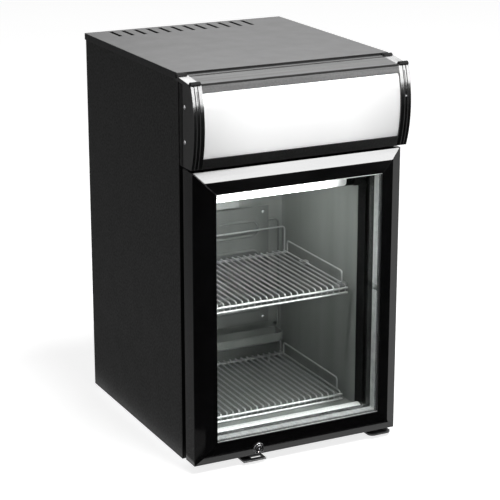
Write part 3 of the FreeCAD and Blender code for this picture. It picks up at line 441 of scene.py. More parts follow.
@dataclass(frozen=True)
class BrushedMetal(Finish):
    """Rolled or brushed sheet metal: long fine lines, broad bright and dull streaks, smudges."""

    grain: Grain = Grain.UPRIGHT
    roughness: Pair = (0.3, 0.42)
    depth: float = 0.012 * MM
    streak: Place = (22.0, 22.0, 1.2)
    contrast: float = 0.14
    metallic: float = 1.0
    smudges: float = 9.0
    smudge_dull: float = 0.09

    def dress(self, graph: Graph) -> None:
        """Lay on the metal, its lines, streaks and smudges.

        Args:
            graph: the nodes of the material.
        """
        broad = graph.noise(1.0, stretch=self.streak)
        graph.feed(graph.tint(broad, *self.shades((1 - self.contrast, 1 + self.contrast))), "Base Color")
        graph.fix("Metallic", self.metallic)
        lines = graph.noise(1.0, detail=2.0, stretch=self.grain.value)
        smudge = graph.spread(graph.noise(self.smudges, detail=4.0), 0.0, self.smudge_dull)
        graph.feed(graph.calc("ADD", graph.spread(lines, *self.roughness), smudge), "Roughness")
        graph.bump(lines, self.depth)


@dataclass(frozen=True)
class PlatedMetal(Finish):
    """Bright plated steel: small dull spots and a soft cloud in its gloss."""

    roughness: Pair = (0.16, 0.28)
    depth: float = 0.015 * MM
    metallic: float = 1.0
    spots: float = 420.0
    spot_shade: float = 0.72
    spot_rim: Pair = (0.30, 0.42)
    clouds: float = 130.0

    def dress(self, graph: Graph) -> None:
        """Lay on the plating and its spots.

        Args:
            graph: the nodes of the material.
        """
        spots = graph.noise(self.spots, detail=4.0)
        graph.feed(graph.tint(spots, self.shade(self.spot_shade), self.colour, *self.spot_rim), "Base Color")
        graph.fix("Metallic", self.metallic)
        graph.feed(graph.spread(graph.noise(self.clouds), *self.roughness), "Roughness")
        graph.bump(spots, self.depth)


@dataclass(frozen=True)
class SpangledSheet(Finish):
    """Galvanised sheet: zinc crystals that differ in brightness and gloss."""

    roughness: Pair = (0.32, 0.55)
    metallic: float = 0.85
    crystals: float = 120.0
    crystal_shades: Pair = (0.82, 1.12)
    waves: float = 60.0
    depth: float = 0.02 * MM

    def dress(self, graph: Graph) -> None:
        """Lay on the zinc crystals and the slight waves of the sheet.

        Args:
            graph: the nodes of the material.
        """
        crystal = graph.cells(self.crystals)
        graph.feed(graph.tint(crystal, *self.shades(self.crystal_shades), 0.0, 1.0), "Base Color")
        graph.fix("Metallic", self.metallic)
        graph.feed(graph.spread(crystal, *self.roughness, 0.0, 1.0), "Roughness")
        graph.bump(graph.noise(self.waves), self.depth)


@dataclass(frozen=True)
class DrawnCopper(Finish):
    """Drawn copper tube: warm bright metal with brown tarnish in patches."""

    tarnish: Colour = (0.16, 0.07, 0.04)
    roughness: Pair = (0.5, 0.24)
    patches: float = 70.0
    patch_rim: Pair = (0.34, 0.56)
    pits: float = 900.0
    depth: float = 0.01 * MM

    def dress(self, graph: Graph) -> None:
        """Lay on the copper and its tarnish.

        Args:
            graph: the nodes of the material.
        """
        patch = graph.noise(self.patches, detail=5.0)
        graph.feed(graph.tint(patch, self.tarnish, self.colour, *self.patch_rim), "Base Color")
        graph.fix("Metallic", 1.0)
        graph.feed(graph.spread(patch, *self.roughness), "Roughness")
        graph.bump(graph.noise(self.pits, detail=2.0), self.depth)


@dataclass(frozen=True)
class PunchedBar(Finish):
    """The aluminium bar between the panes: dull bright metal with rows of punched breather holes, their
    insides darkened with painted shade.
    """

    pitch: float = 3.2 * MM
    row_pitch: float = 5.4 * MM
    dot_rim: Pair = (0.35, 0.75)
    depth: float = 0.1 * MM
    roughness: Pair = (0.38, 0.52)
    metallic: float = 0.3
    clouds: float = 90.0
    metal_shades: Pair = (0.85, 1.1)
    # shares of the holes' colour: painted shade inside the holes
    hole_shade_shares: Pair = (0.18, 0.3)
    sheen: float = 200.0

    def dress(self, graph: Graph) -> None:
        """Lay on the metal, then the holes along both directions of the bar, darkened with painted shade.

        Args:
            graph: the nodes of the material.
        """
        axes = graph.axes()
        across = self.wave(graph, axes["Y"], self.row_pitch)
        dots = [graph.calc("MULTIPLY", self.wave(graph, axes[way], self.pitch), across) for way in "XZ"]
        mark = graph.spread(graph.calc("MAXIMUM", *dots), 0.0, 1.0, *self.dot_rim)
        metal = graph.tint(graph.noise(self.clouds), *self.shades(self.metal_shades))
        # the dark colour of the holes is painted shade inside them
        dark = graph.tint(graph.noise(self.clouds), *self.shades(self.hole_shade_shares))
        graph.feed(graph.blend(mark, metal, dark), "Base Color")
        graph.fix("Metallic", self.metallic)
        graph.feed(graph.spread(graph.noise(self.sheen), *self.roughness), "Roughness")
        graph.bump(mark, -self.depth)

    @staticmethod
    def wave(graph: Graph, source: Socket, length: float) -> Socket:
        """Give a sine wave of a length along one axis."""
        return graph.calc("SINE", graph.calc("MULTIPLY", source, math.tau / length))


@dataclass(frozen=True)
class LitPanel(Finish):
    """A white translucent panel with a lamp behind it."""

    glow: float = 1.0
    dim: float = 0.85
    roughness: Pair = (0.18, 0.3)
    reach: float = 0.2
    fade: float = 0.45
    steep: float = 1.0
    one_end: bool = False
    milk: float = 35.0
    milk_shade: float = 0.985
    sheen: float = 110.0
    grain: float = 700.0
    depth: float = 0.004 * MM

    def dress(self, graph: Graph) -> None:
        """Lay on the opal white, and a glow that dims towards both ends or only the right end.

        Args:
            graph: the nodes of the material.
        """
        milk = graph.noise(self.milk, detail=2.0)
        graph.feed(graph.tint(milk, self.shade(self.milk_shade), self.colour), "Base Color")
        graph.feed(graph.spread(graph.noise(self.sheen), *self.roughness), "Roughness")
        far = graph.axes()["X"]
        if not self.one_end:
            far = graph.calc("ABSOLUTE", far)
        ends = graph.spread(far, 1.0, 0.0, self.reach * self.fade, self.reach)
        fall = graph.calc("POWER", ends, self.steep)
        graph.feed(graph.tint(fall, self.shade(self.dim), self.colour, 0.0, 1.0), "Emission Color")
        graph.fix("Emission Strength", self.glow)
        graph.bump(graph.noise(self.grain, detail=2.0), self.depth)


@dataclass(frozen=True)
class ClearGlass(Finish):
    """Clear float glass, with faint smears on it."""

    passing: Colour = (0.93, 0.94, 0.935)
    index: float = 1.45
    smears: float = 7.0
    smear_dull: float = 0.035
    smear_rim: Pair = (0.5, 0.8)

    def dress(self, graph: Graph) -> None:
        """Make the shader clear, and let light and shade through it unbent.

        Args:
            graph: the nodes of the material.
        """
        graph.fix("Base Color", self.colour)
        graph.fix("Transmission Weight", 1.0)
        graph.fix("IOR", self.index)
        smear = graph.spread(graph.noise(self.smears, detail=4.0), 0.0, self.smear_dull, *self.smear_rim)
        graph.feed(smear, "Roughness")
        path = graph.node("ShaderNodeLightPath").outputs
        either = graph.calc("MAXIMUM", path["Is Shadow Ray"], path["Is Diffuse Ray"])
        clear = graph.node("ShaderNodeBsdfTransparent", ("Color", (*self.passing, 1.0)))
        mixed = graph.node("ShaderNodeMixShader", (0, either), (1, graph.shader.outputs[0]),
                           (2, clear.outputs[0]))
        graph.links.new(mixed.outputs[0], graph.nodes["Material Output"].inputs["Surface"])


# the sides take a darker copy of the lid's black coat: painted shade on the sides
SHADED_SIDE_COAT = CoatedSheet("shaded_side_coat", Slot.BLACK_SHEET, (0.0048, 0.0048, 0.005), (0.36, 0.42), 0.13,
                        depth=0.004 * MM)
LID_COAT = CoatedSheet("lid_coat", Slot.BLACK_SHEET, (0.012, 0.012, 0.0125), (0.32, 0.36), 0.2,
                       depth=0.01 * MM)
INNER_COAT = CoatedSheet("inner_coat", Slot.BLACK_SHEET, (0.014, 0.014, 0.014), (0.5, 0.6), 0.3)
# the brackets' pale edges are mostly a painted highlight along their lower and front edges, on top of the
# wear
BRACKET_COAT = CoatedSheet("bracket_coat", Slot.BLACK_SHEET, (0.03, 0.03, 0.031), (0.28, 0.4), 0.5,
                           worn_and_lit_edge=(0.5, 0.5, 0.5))
FRAME_GLOSS = MouldedPlastic("frame_gloss", Slot.BLACK_PLASTIC, (0.0035, 0.0035, 0.0037), (0.07, 0.14), 0.3,
                             grain=1.6 * MM, depth=0.004 * MM, stretch=(8.0, 300.0, 8.0))
CAP_GLOSS = CapPlastic("cap_gloss", Slot.BLACK_PLASTIC, (0.008, 0.008, 0.008), (0.10, 0.2), 0.36,
                       grain=1.4 * MM, depth=0.006 * MM)
STRIP_SATIN = MouldedPlastic("strip_satin", Slot.BLACK_PLASTIC, (0.009, 0.009, 0.009), (0.36, 0.46), 0.24,
                             stretch=(4.0, 260.0, 260.0))
SEAM_BLACK = MouldedPlastic("seam_black", Slot.RUBBER, (0.004, 0.004, 0.004), (0.5, 0.6), 0.12)
BREAKER_BLACK = MouldedPlastic("breaker_black", Slot.DARK_PLASTIC, (0.003, 0.003, 0.003), (0.42, 0.54), 0.12)
FLAG_BLACK = MouldedPlastic("flag_black", Slot.DARK_PLASTIC, (0.0005, 0.0005, 0.0005), (0.95, 1.0), 0.0)
MATT_DARK = MouldedPlastic("matt_dark", Slot.DARK_PLASTIC, (0.013, 0.013, 0.013), (0.5, 0.62), 0.4,
                           depth=0.03 * MM)
GREY_PLASTIC = MouldedPlastic("grey_plastic", Slot.GREY_PLASTIC, (0.34, 0.35, 0.345), (0.38, 0.5), 0.5)
RUBBER = MouldedPlastic("rubber", Slot.RUBBER, (0.014, 0.014, 0.014), (0.58, 0.72), 0.3,
                        grain=0.5 * MM, depth=0.03 * MM)
GASKET = MouldedPlastic("gasket_vinyl", Slot.RUBBER, (0.018, 0.018, 0.019), (0.4, 0.52), 0.4,
                        grain=0.6 * MM, depth=0.015 * MM)
FOAM = MouldedPlastic("foam", Slot.FOAM, (0.68, 0.58, 0.34), (0.8, 0.95), 0.2,
                      grain=1.5 * MM, depth=0.3 * MM)
LINER_METAL = BrushedMetal("liner_metal", Slot.ALUMINIUM, (0.25, 0.259, 0.252), roughness=(0.34, 0.46),
                           depth=0.003 * MM, contrast=0.08, metallic=0.5)
PLATE_METAL = BrushedMetal("plate_metal", Slot.ALUMINIUM, (0.19, 0.198, 0.192), roughness=(0.32, 0.42),
                           depth=0.003 * MM, contrast=0.08, metallic=0.6)
SILL_METAL = BrushedMetal("sill_metal", Slot.ALUMINIUM, (0.92, 0.93, 0.93), Grain.ACROSS, (0.3, 0.44),
                          streak=(1.2, 90.0, 90.0), metallic=0.1)
NOSE_METAL = PlatedMetal("nose_metal", Slot.ALUMINIUM, (0.95, 0.95, 0.95), (0.3, 0.4), 0.05 * MM, 0.2)
TRIM_METAL = BrushedMetal("trim_metal", Slot.ALUMINIUM, (0.55, 0.56, 0.56), Grain.ACROSS,
                          streak=(1.5, 30.0, 30.0))
WIRE_PLATE = PlatedMetal("wire_plate", Slot.WIRE, (0.5, 0.51, 0.51), (0.34, 0.44), 0.006 * MM, 0.6)
BRIGHT_PLATE = PlatedMetal("bright_plate", Slot.BRIGHT_METAL, (0.80, 0.80, 0.81), (0.12, 0.22))
LOCK_PLATE = PlatedMetal("lock_plate", Slot.BRIGHT_METAL, (0.60, 0.60, 0.61), (0.2, 0.32))
ZINC = SpangledSheet("zinc", Slot.GREY_SHEET, (0.46, 0.47, 0.48))
COPPER = DrawnCopper("copper", Slot.COPPER, (0.78, 0.38, 0.22))
SPACER_BAR = PunchedBar("spacer_bar", Slot.ALUMINIUM, (0.46, 0.47, 0.47))
SIGN_WHITE = LitPanel("sign_white_panel", Slot.SIGN_WHITE, (0.88, 0.88, 0.88), 0.45, 0.3, (0.06, 0.1))
LAMP_WHITE = LitPanel("lamp_opal", Slot.LAMP_WHITE, (0.92, 0.93, 0.92), 88.0, 0.0036, (0.3, 0.42),
                      reach=0.122, fade=0.3, steep=3.0, one_end=True)
CARD_GREY = LitPanel("card_grey", Slot.DARK_PLASTIC, (0.10, 0.10, 0.10), 1.0, 1.0)
CLEAR_GLASS = ClearGlass("clear_glass", Slot.GLASS, (0.97, 0.98, 0.975))


# Shapes

WELD_GAP = 0.002 * MM
FACE_WEIGHT = 60
FLUTED_RIM = 0.8
HEAD_SIDES = 28
HEAD_SHAPE = ((1.0, 0.0, 0.0), (1.0, 0.6, 0.0), (0.9, 1.0, 0.0), (0.72, 1.0, 1.0))
RECESS_TAPER = 0.92
RECESS_SHARES = {Recess.CROSS: (0.62, 0.14), Recess.SLOT: (0.58, 0.10)}


def coat(finish: Finish, *nodes: str, edge: float = 0.0, steps: int = 2, angle: float = 32.0) -> None:
    """Give CAD nodes a finish, and round their edges a little where an edge is given.

    Args:
        finish: the finish.
        nodes: the names of the nodes.
        edge: the width of the rounding in metres, or 0 for none.
        steps: the number of facets over the rounding.
        angle: the angle in degrees from which an edge is rounded.
    """
    for name in nodes:
        node = frame["nodes"][name]
        for holder in node.material_slots:
            holder.material = finish.material()
        if edge:
            weld = node.modifiers.new("weld", "WELD")
            weld.merge_threshold = WELD_GAP
            rounding = node.modifiers.new("rounding", "BEVEL")
            rounding.width = edge
            rounding.segments = steps
            rounding.limit_method = "ANGLE"
            rounding.angle_limit = math.radians(angle)
            rounding.miter_outer = "MITER_SHARP"
            shading = node.modifiers.new("shading", "WEIGHTED_NORMAL")
            shading.weight = FACE_WEIGHT
        LOG.info("%s: %s", name, finish.name)


def set_in_scene(name: str, form: Form, material: bpy.types.Material) -> bpy.types.Object:
    """Make an object of a form and set it in the scene.

    Args:
        name: the name of the object.
        form: the form, which is used up.
        material: the material of the object.

    Returns:
        The new object.
    """
    mesh = bpy.data.meshes.new(name)
    form.to_mesh(mesh)
    form.free()
    mesh.materials.append(material)
    made = bpy.data.objects.new(name, mesh)
    bpy.context.scene.collection.objects.link(made)
    return made


def add_piece(name: str, form: Form, finish: Finish, body: Body, crease: float = 35.0) -> bpy.types.Object:
    """Make a piece of a form, dress it and let it ride on a body.

    Args:
        name: the name of the piece.
        form: the form, which is used up.
        finish: the finish of the piece.
        body: the body that carries it.
        crease: the angle in degrees from which an edge stays sharp.

    Returns:
        The new piece.
    """
    bmesh.ops.recalc_face_normals(form, faces=form.faces)
    piece = set_in_scene(name, form, finish.material())
    piece.data.shade_smooth()
    piece.data.set_sharp_from_angle(angle=math.radians(crease))
    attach(piece, body.value)
    LOG.info("%s: made, %d faces, %s", name, len(piece.data.polygons), finish.name)
    return piece


def joined(forms: Sequence[Form]) -> Form:
    """Join several forms into one, using them up.

    Args:
        forms: the forms.

    Returns:
        The whole.
    """
    whole = bmesh.new()
    for form in forms:
        mesh = bpy.data.meshes.new("part")
        form.to_mesh(mesh)
        form.free()
        whole.from_mesh(mesh)
        bpy.data.meshes.remove(mesh)
    return whole


def placed(form: Form, place: Place, way: Place = (0.0, 0.0, 1.0)) -> Form:
    """Move a form made at the origin, and turn its Z axis to a direction.

    Args:
        form: the form.
        place: where its origin goes.
        way: where its Z axis points.

    Returns:
        The same form.
    """
    turn = Vector(way).to_track_quat("Z", "Y").to_matrix().to_4x4()
    bmesh.ops.transform(form, matrix=Matrix.Translation(place) @ turn, verts=form.verts)
    return form


def circle(form: Form, radius: float, height: float, sides: int) -> Ring:
    """Add a ring of points round the Z axis, or one point for a radius of 0.

    Args:
        form: the form that takes the points.
        radius: the radius of the ring.
        height: its height.
        sides: the number of its points.

    Returns:
        The new points.
    """
    if radius == 0:
        return [form.verts.new((0.0, 0.0, height))]
    turns = [math.tau * index / sides for index in range(sides)]
    return [form.verts.new((radius * math.cos(turn), radius * math.sin(turn), height)) for turn in turns]


def bridge(form: Form, low: Ring, high: Ring) -> None:
    """Close the strip between two rings of points.

    Args:
        form: the form that takes the faces.
        low: one ring, or a single point.
        high: the other ring, or a single point.
    """
    sides = max(len(low), len(high))
    for index in range(sides):
        after = (index + 1) % sides
        first = low if len(low) == 1 else [low[index], low[after]]
        second = high if len(high) == 1 else [high[after], high[index]]
        form.faces.new((*first, *second))


def bridge_all(form: Form, rings: Sequence[Ring]) -> None:
    """Close the strips between rings of points that follow each other."""
    for low, high in zip(rings, rings[1:]):
        bridge(form, low, high)


def half_turns(steps: int) -> list[float]:
    """Give the angles of a half circle in equal steps."""
    return [math.pi * step / steps for step in range(steps + 1)]


def each_place(across: Sequence[float], along: Sequence[float], heights: Sequence[float]) -> list[Place]:
    """Give every place that has one of these X, one of these Y and one of these Z."""
    return list(product(across, along, heights))


def lathe(profile: Sequence[Pair], sides: int = 48) -> Form:
    """Turn a profile of radius and height round the Z axis.

    Args:
        profile: the radius and the height of each point.
        sides: the number of facets round the axis.

    Returns:
        The turned form.
    """
    form = bmesh.new()
    bridge_all(form, [circle(form, radius, height, sides) for radius, height in profile])
    return form


def fluted(profile: Sequence[Pair], flutes: int, depth: float, sides: int = 96) -> Form:
    """Turn a profile and press flutes into its side.

    Args:
        profile: the radius and the height of each point.
        flutes: the number of flutes.
        depth: how deep they are.
        sides: the number of facets round the axis.

    Returns:
        The fluted form.
    """
    form = lathe(profile, sides)
    rim = max(radius for radius, _ in profile) * FLUTED_RIM
    for point in form.verts:
        reach = math.hypot(point.co.x, point.co.y)
        if reach > rim:
            wave = 0.5 - 0.5 * math.cos(flutes * math.atan2(point.co.y, point.co.x))
            share = 1 - depth * wave / reach
            point.co.x *= share
            point.co.y *= share
    return form


def rod(start: Place, end: Place, radius: float, sides: int = 10) -> Form:
    """Make a straight round rod between two places.

    Args:
        start: the middle of one end.
        end: the middle of the other end.
        radius: its radius.
        sides: the number of facets round the axis.

    Returns:
        The rod.
    """
    way = Vector(end) - Vector(start)
    form = lathe(((0, 0), (radius, 0), (radius, way.length), (0, way.length)), sides)
    return placed(form, start, tuple(way))


def slab(low: Place, high: Place, edge: float, steps: int = 2) -> Form:
    """Make a block between two corners with its edges rounded.

    Args:
        low: the lowest corner.
        high: the highest corner.
        edge: the width of the rounding.
        steps: the number of facets over the rounding.

    Returns:
        The block.
    """
    form = bmesh.new()
    bmesh.ops.create_cube(form, size=1.0)
    size = Matrix.Diagonal((*(Vector(high) - Vector(low)), 1.0))
    middle = Matrix.Translation((Vector(high) + Vector(low)) / 2)
    bmesh.ops.transform(form, matrix=middle @ size, verts=form.verts)
    bmesh.ops.bevel(form, geom=form.edges, offset=edge, segments=steps, profile=0.5, affect="EDGES")
    return form


def framed(section: Sequence[Pair], low: Pair, high: Pair) -> Form:
    """Sweep a closed section round an upright rectangle, mitred at the corners.

    Args:
        section: points given as the distance in from the rectangle and the place along Y.
        low: the lowest X and Z of the rectangle.
        high: the highest X and Z of the rectangle.

    Returns:
        The swept form.
    """
    form = bmesh.new()
    loops: list[Ring] = []
    for inset, depth in section:
        left, right = low[0] + inset, high[0] - inset
        base, top = low[1] + inset, high[1] - inset
        corners = ((left, base), (right, base), (right, top), (left, top))
        loops.append([form.verts.new((x, depth, z)) for x, z in corners])
    bridge_all(form, loops + loops[:1])
    return form


def extruded(section: Sequence[Pair], start: float, end: float) -> Form:
    """Draw a closed section of Y and Z points along X.

    Args:
        section: the Y and the Z of each point.
        start: the X of one end.
        end: the X of the other end.

    Returns:
        The drawn form.
    """
    form = bmesh.new()
    near = [form.verts.new((start, y, z)) for y, z in section]
    far = [form.verts.new((end, y, z)) for y, z in section]
    bridge(form, near, far)
    form.faces.new(near)
    form.faces.new(far)
    return form


def recess_outline(kind: Recess, radius: float) -> list[Pair]:
    """Give the corners of a recess as X and Y, round its centre.

    Args:
        kind: the recess.
        radius: the radius of the head that it is in.

    Returns:
        The corners in order.
    """
    arm, half = (radius * share for share in RECESS_SHARES[kind])
    if kind is Recess.CROSS:
        return [(arm, -half), (arm, half), (half, half), (half, arm), (-half, arm), (-half, half),
                (-arm, half), (-arm, -half), (-half, -half), (-half, -arm), (half, -arm), (half, -half)]
    return [(half, -arm), (half, -arm * 0.1), (half * 2, 0), (half, arm * 0.3), (half, arm),
            (-half, arm), (-half, arm * 0.3), (-half, -arm)]


def headed(radius: float, height: float, kind: Recess, deep: float, dome: float) -> Form:
    """Make a round head with a recess, standing on the XY plane.

    Args:
        radius: the radius of the head.
        height: the height of its rim.
        kind: the recess.
        deep: the depth of the recess.
        dome: how far the middle stands over the rim.

    Returns:
        The head, with its open side down.
    """
    form = bmesh.new()
    rings = [circle(form, radius * out, height * up + dome * over, HEAD_SIDES)
             for out, up, over in HEAD_SHAPE]
    bridge_all(form, rings)
    crown = height + dome
    mouth = [form.verts.new((x, y, crown)) for x, y in recess_outline(kind, radius)]
    floor = [form.verts.new((x, y, crown - deep)) for x, y in recess_outline(kind, radius * RECESS_TAPER)]
    bridge(form, mouth, floor)
    form.faces.new(floor)
    edges = [form.edges.get(ends) for ring in (rings[-1], mouth) for ends in zip(ring, ring[1:] + ring[:1])]
    bmesh.ops.triangle_fill(form, use_beauty=True, edges=edges)
    return form


def screws(places: Sequence[Place], way: Place, radius: float = 3.2 * MM, height: float = 1.2 * MM) -> Form:
    """Set cross-recessed screw heads at several places, all facing one way.

    Args:
        places: where the heads sit.
        way: where they face.
        radius: the radius of a head.
        height: the height of its rim.

    Returns:
        The heads as one form.
    """
    heads: list[Form] = []
    for place in places:
        head = headed(radius, height, Recess.CROSS, deep=height * 0.8, dome=height * 0.35)
        heads.append(placed(head, place, way))
    return joined(heads)


def stand_for(piece: bpy.types.Object, *nodes: str) -> None:
    """Let a piece stand for CAD nodes, which are then hidden."""
    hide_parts(*nodes)
    LOG.info("%s stands for %s", piece.name, ", ".join(nodes))


# Sub-assemblies


@dataclass
class CabinetShell:
    """The painted cabinet with its lid, base, rear cover, feet and cord gland."""

    foot_radius: float = 17 * MM
    edge: float = 0.7 * MM
    cover_inset: Place = (9 * MM, 9 * MM, 20 * MM)
    panel_inset: Pair = (22 * MM, 30 * MM)
    base_inset: Place = (30 * MM, 130 * MM, 90 * MM)
    screw_height: float = 1.0 * MM

    def build(self) -> None:
        """Dress the sheets and add the feet and the screws."""
        coat(SHADED_SIDE_COAT, "left_side_panel", "right_side_panel", edge=self.edge)
        coat(LID_COAT, "top_cover", edge=self.edge * 0.5)
        coat(INNER_COAT, "front_fascia", "machine_deck")
        coat(ZINC, "base_pan", "rear_panel")
        coat(INNER_COAT, "rear_cover")
        coat(FOAM, "insulation")
        coat(MATT_DARK, "cord_gland", edge=0.5 * MM)
        self.mould_feet()
        self.drive_screws()

    def mould_feet(self) -> None:
        """Mould the four rubber feet, each with a step, a groove and a dished sole."""
        low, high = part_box("feet")
        radius, tall = self.foot_radius, high.z
        profile = ((0, tall), (radius * 0.62, tall), (radius * 0.62, tall - 1.5 * MM),
                   (radius * 0.86, tall - 1.7 * MM), (radius * 0.93, tall - 2.6 * MM),
                   (radius * 0.95, 4.2 * MM), (radius * 0.9, 3.8 * MM), (radius * 0.9, 3.2 * MM),
                   (radius * 0.97, 2.8 * MM), (radius, 1.2 * MM), (radius * 0.96, 0.2 * MM),
                   (radius * 0.9, 0), (radius * 0.72, 0), (radius * 0.64, 0.9 * MM),
                   (radius * 0.25, 1.1 * MM), (0, 1.1 * MM))
        places = each_place((low.x + radius, high.x - radius), (low.y + radius, high.y - radius), (0.0,))
        forms = [placed(lathe(profile), place) for place in places]
        feet = add_piece("moulded_feet", joined(forms), RUBBER, Body.CABINET)
        stand_for(feet, "feet")

    def drive_screws(self) -> None:
        """Drive the screws of the rear cover, the rear panel and the base pan."""
        low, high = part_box("rear_cover")
        inset, base, top = self.cover_inset
        rows = each_place((low.x + inset, 0.0, high.x - inset), (high.y,), (low.z + base, high.z - top))
        low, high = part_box("rear_panel")
        inset, base = self.panel_inset
        heights = (low.z + base, (low.z + high.z) / 2, high.z - base)
        rows += each_place((low.x + inset, high.x - inset), (high.y,), heights)
        heads = screws(rows, (0, 1, 0), height=self.screw_height)
        add_piece("rear_screws", heads, BRIGHT_PLATE, Body.CABINET)
        low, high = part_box("base_pan")
        inset, front, back = self.base_inset
        under = each_place((low.x + inset, high.x - inset), (low.y + front, high.y - back), (low.z,))
        heads = screws(under, (0, 0, -1), height=self.screw_height)
        add_piece("base_screws", heads, BRIGHT_PLATE, Body.CABINET)


@dataclass
class Canopy:
    """The lit canopy over the door, with its bare sign, its strips and its end caps."""

    tip: Pair = (-228.75 * MM, 690 * MM)
    rear: Pair = (-168.75 * MM, 697 * MM)
    beads: tuple[Pair, Pair] = ((0.8 * MM, 1.9 * MM), (47.0 * MM, 1.14 * MM))
    bead_gap: float = 0.2 * MM
    bar: float = 4.4 * MM
    bar_places: tuple[Pair, Pair] = ((-173.4 * MM, 695.5 * MM), (-226.0 * MM, 690.6 * MM))
    bar_lap: float = 0.5 * MM
    screw_height: float = 0.7 * MM
    screw_stand: float = 1.0 * MM
    stud: Place = (196 * MM, -239.2 * MM, 637 * MM)
    stud_head: Pair = (2.0 * MM, 1.4 * MM)
    # black strips that stand in for the shadow gap behind both cheeks and the shadow line before the lid:
    # painted shadow
    shade_strip_half: float = 0.5 * MM
    shade_strip_width: float = 11 * MM
    shade_strip_drop: float = 11 * MM
    shade_strip_gap: float = 1 * MM
    lid_shade_strip_depth: Pair = (0.4 * MM, 0.05 * MM)
    lid_shade_strip_reach: Pair = (3 * MM, 1.4 * MM)

    def build(self) -> None:
        """Dress the canopy and add its beads, bars, black strips of painted shadow and screws."""
        coat(CAP_GLOSS, "canopy_cap_left", "canopy_cap_right", edge=0.5 * MM)
        coat(STRIP_SATIN, "canopy_top_strip", "canopy_bottom_strip")
        coat(SIGN_WHITE, "sign_panel")
        coat(SEAM_BLACK, "canopy_tray")
        coat(LAMP_WHITE, "canopy_lamp")
        self.lay_beads()
        self.lay_bars()
        self.lay_shade_strips()
        self.drive_screws()

    def lay_beads(self) -> None:
        """Lay the thin black beads along the top strip, one at its front edge and one before the lid."""
        low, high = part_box("canopy_top_strip")
        slope = (self.rear[1] - self.tip[1]) / (self.rear[0] - self.tip[0])
        forms: list[Form] = []
        for along, radius in self.beads:
            y, z = self.tip[0] + along, self.tip[1] + slope * along
            half, tall = radius * 1.2, radius * 0.6
            arc = [(y - half * math.cos(turn), z + tall * math.sin(turn)) for turn in half_turns(6)]
            section = [(y - half, z - radius), *arc, (y + half, z - radius)]
            forms.append(extruded(section, low.x + self.bead_gap, high.x - self.bead_gap))
        add_piece("canopy_beads", joined(forms), SEAM_BLACK, Body.CABINET)

    def lay_bars(self) -> None:
        """Lay the round black bars across the tops of both end caps."""
        low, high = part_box("canopy_cap_left")
        wide, radius = high.x - low.x, self.bar
        profile = ((0, 0), (radius * 0.7, 0), (radius, radius * 0.3), (radius, wide - radius * 0.3),
                   (radius * 0.7, wide), (0, wide))
        forms = [placed(lathe(profile, sides=20), (start, y, z), (1, 0, 0))
                 for start in (low.x - self.bar_lap, -high.x + self.bar_lap) for y, z in self.bar_places]
        add_piece("canopy_bars", joined(forms), SEAM_BLACK, Body.CABINET)

    def lay_shade_strips(self) -> None:
        """Lay black strips of painted shadow along the rear margins of both cheeks, and one before the lid.
        """
        low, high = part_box("canopy_cap_left")
        rear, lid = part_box("canopy_tray")[0].y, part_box("top_cover")[0]
        forms: list[Form] = []
        for outer in (low.x, -low.x):
            forms.append(slab((outer - self.shade_strip_half, rear - self.shade_strip_width, low.z + self.shade_strip_gap),
                              (outer + self.shade_strip_half, rear + self.shade_strip_half, high.z - self.shade_strip_drop), edge=0.2 * MM))
        # the strip before the lid is a painted shadow line
        half = -lid.x - self.shade_strip_gap
        (front, back), (under, over) = self.lid_shade_strip_depth, self.lid_shade_strip_reach
        forms.append(slab((-half, lid.y - front, high.z - under),
                          (half, lid.y + back, high.z + over), edge=0.1 * MM))
        add_piece("canopy_seals", joined(forms), SEAM_BLACK, Body.CABINET)

    def drive_screws(self) -> None:
        """Drive the cross-recessed screws of both cheeks, and the small one of the right band."""
        low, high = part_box("canopy_screws")
        middle = (low.y + high.y) / 2
        radius = (high.y - low.y) / 2
        heights = (low.z + radius, high.z - radius)
        forms: list[Form] = []
        for x, way in ((high.x - self.screw_stand, 1.0), (low.x + self.screw_stand, -1.0)):
            places = each_place((x,), (middle,), heights)
            forms.append(screws(places, (way, 0, 0), radius, self.screw_height))
        forms.append(screws([self.stud], (0, -1, 0), *self.stud_head))
        heads = add_piece("cheek_screws", joined(forms), BRIGHT_PLATE, Body.CABINET)
        stand_for(heads, "canopy_screws")


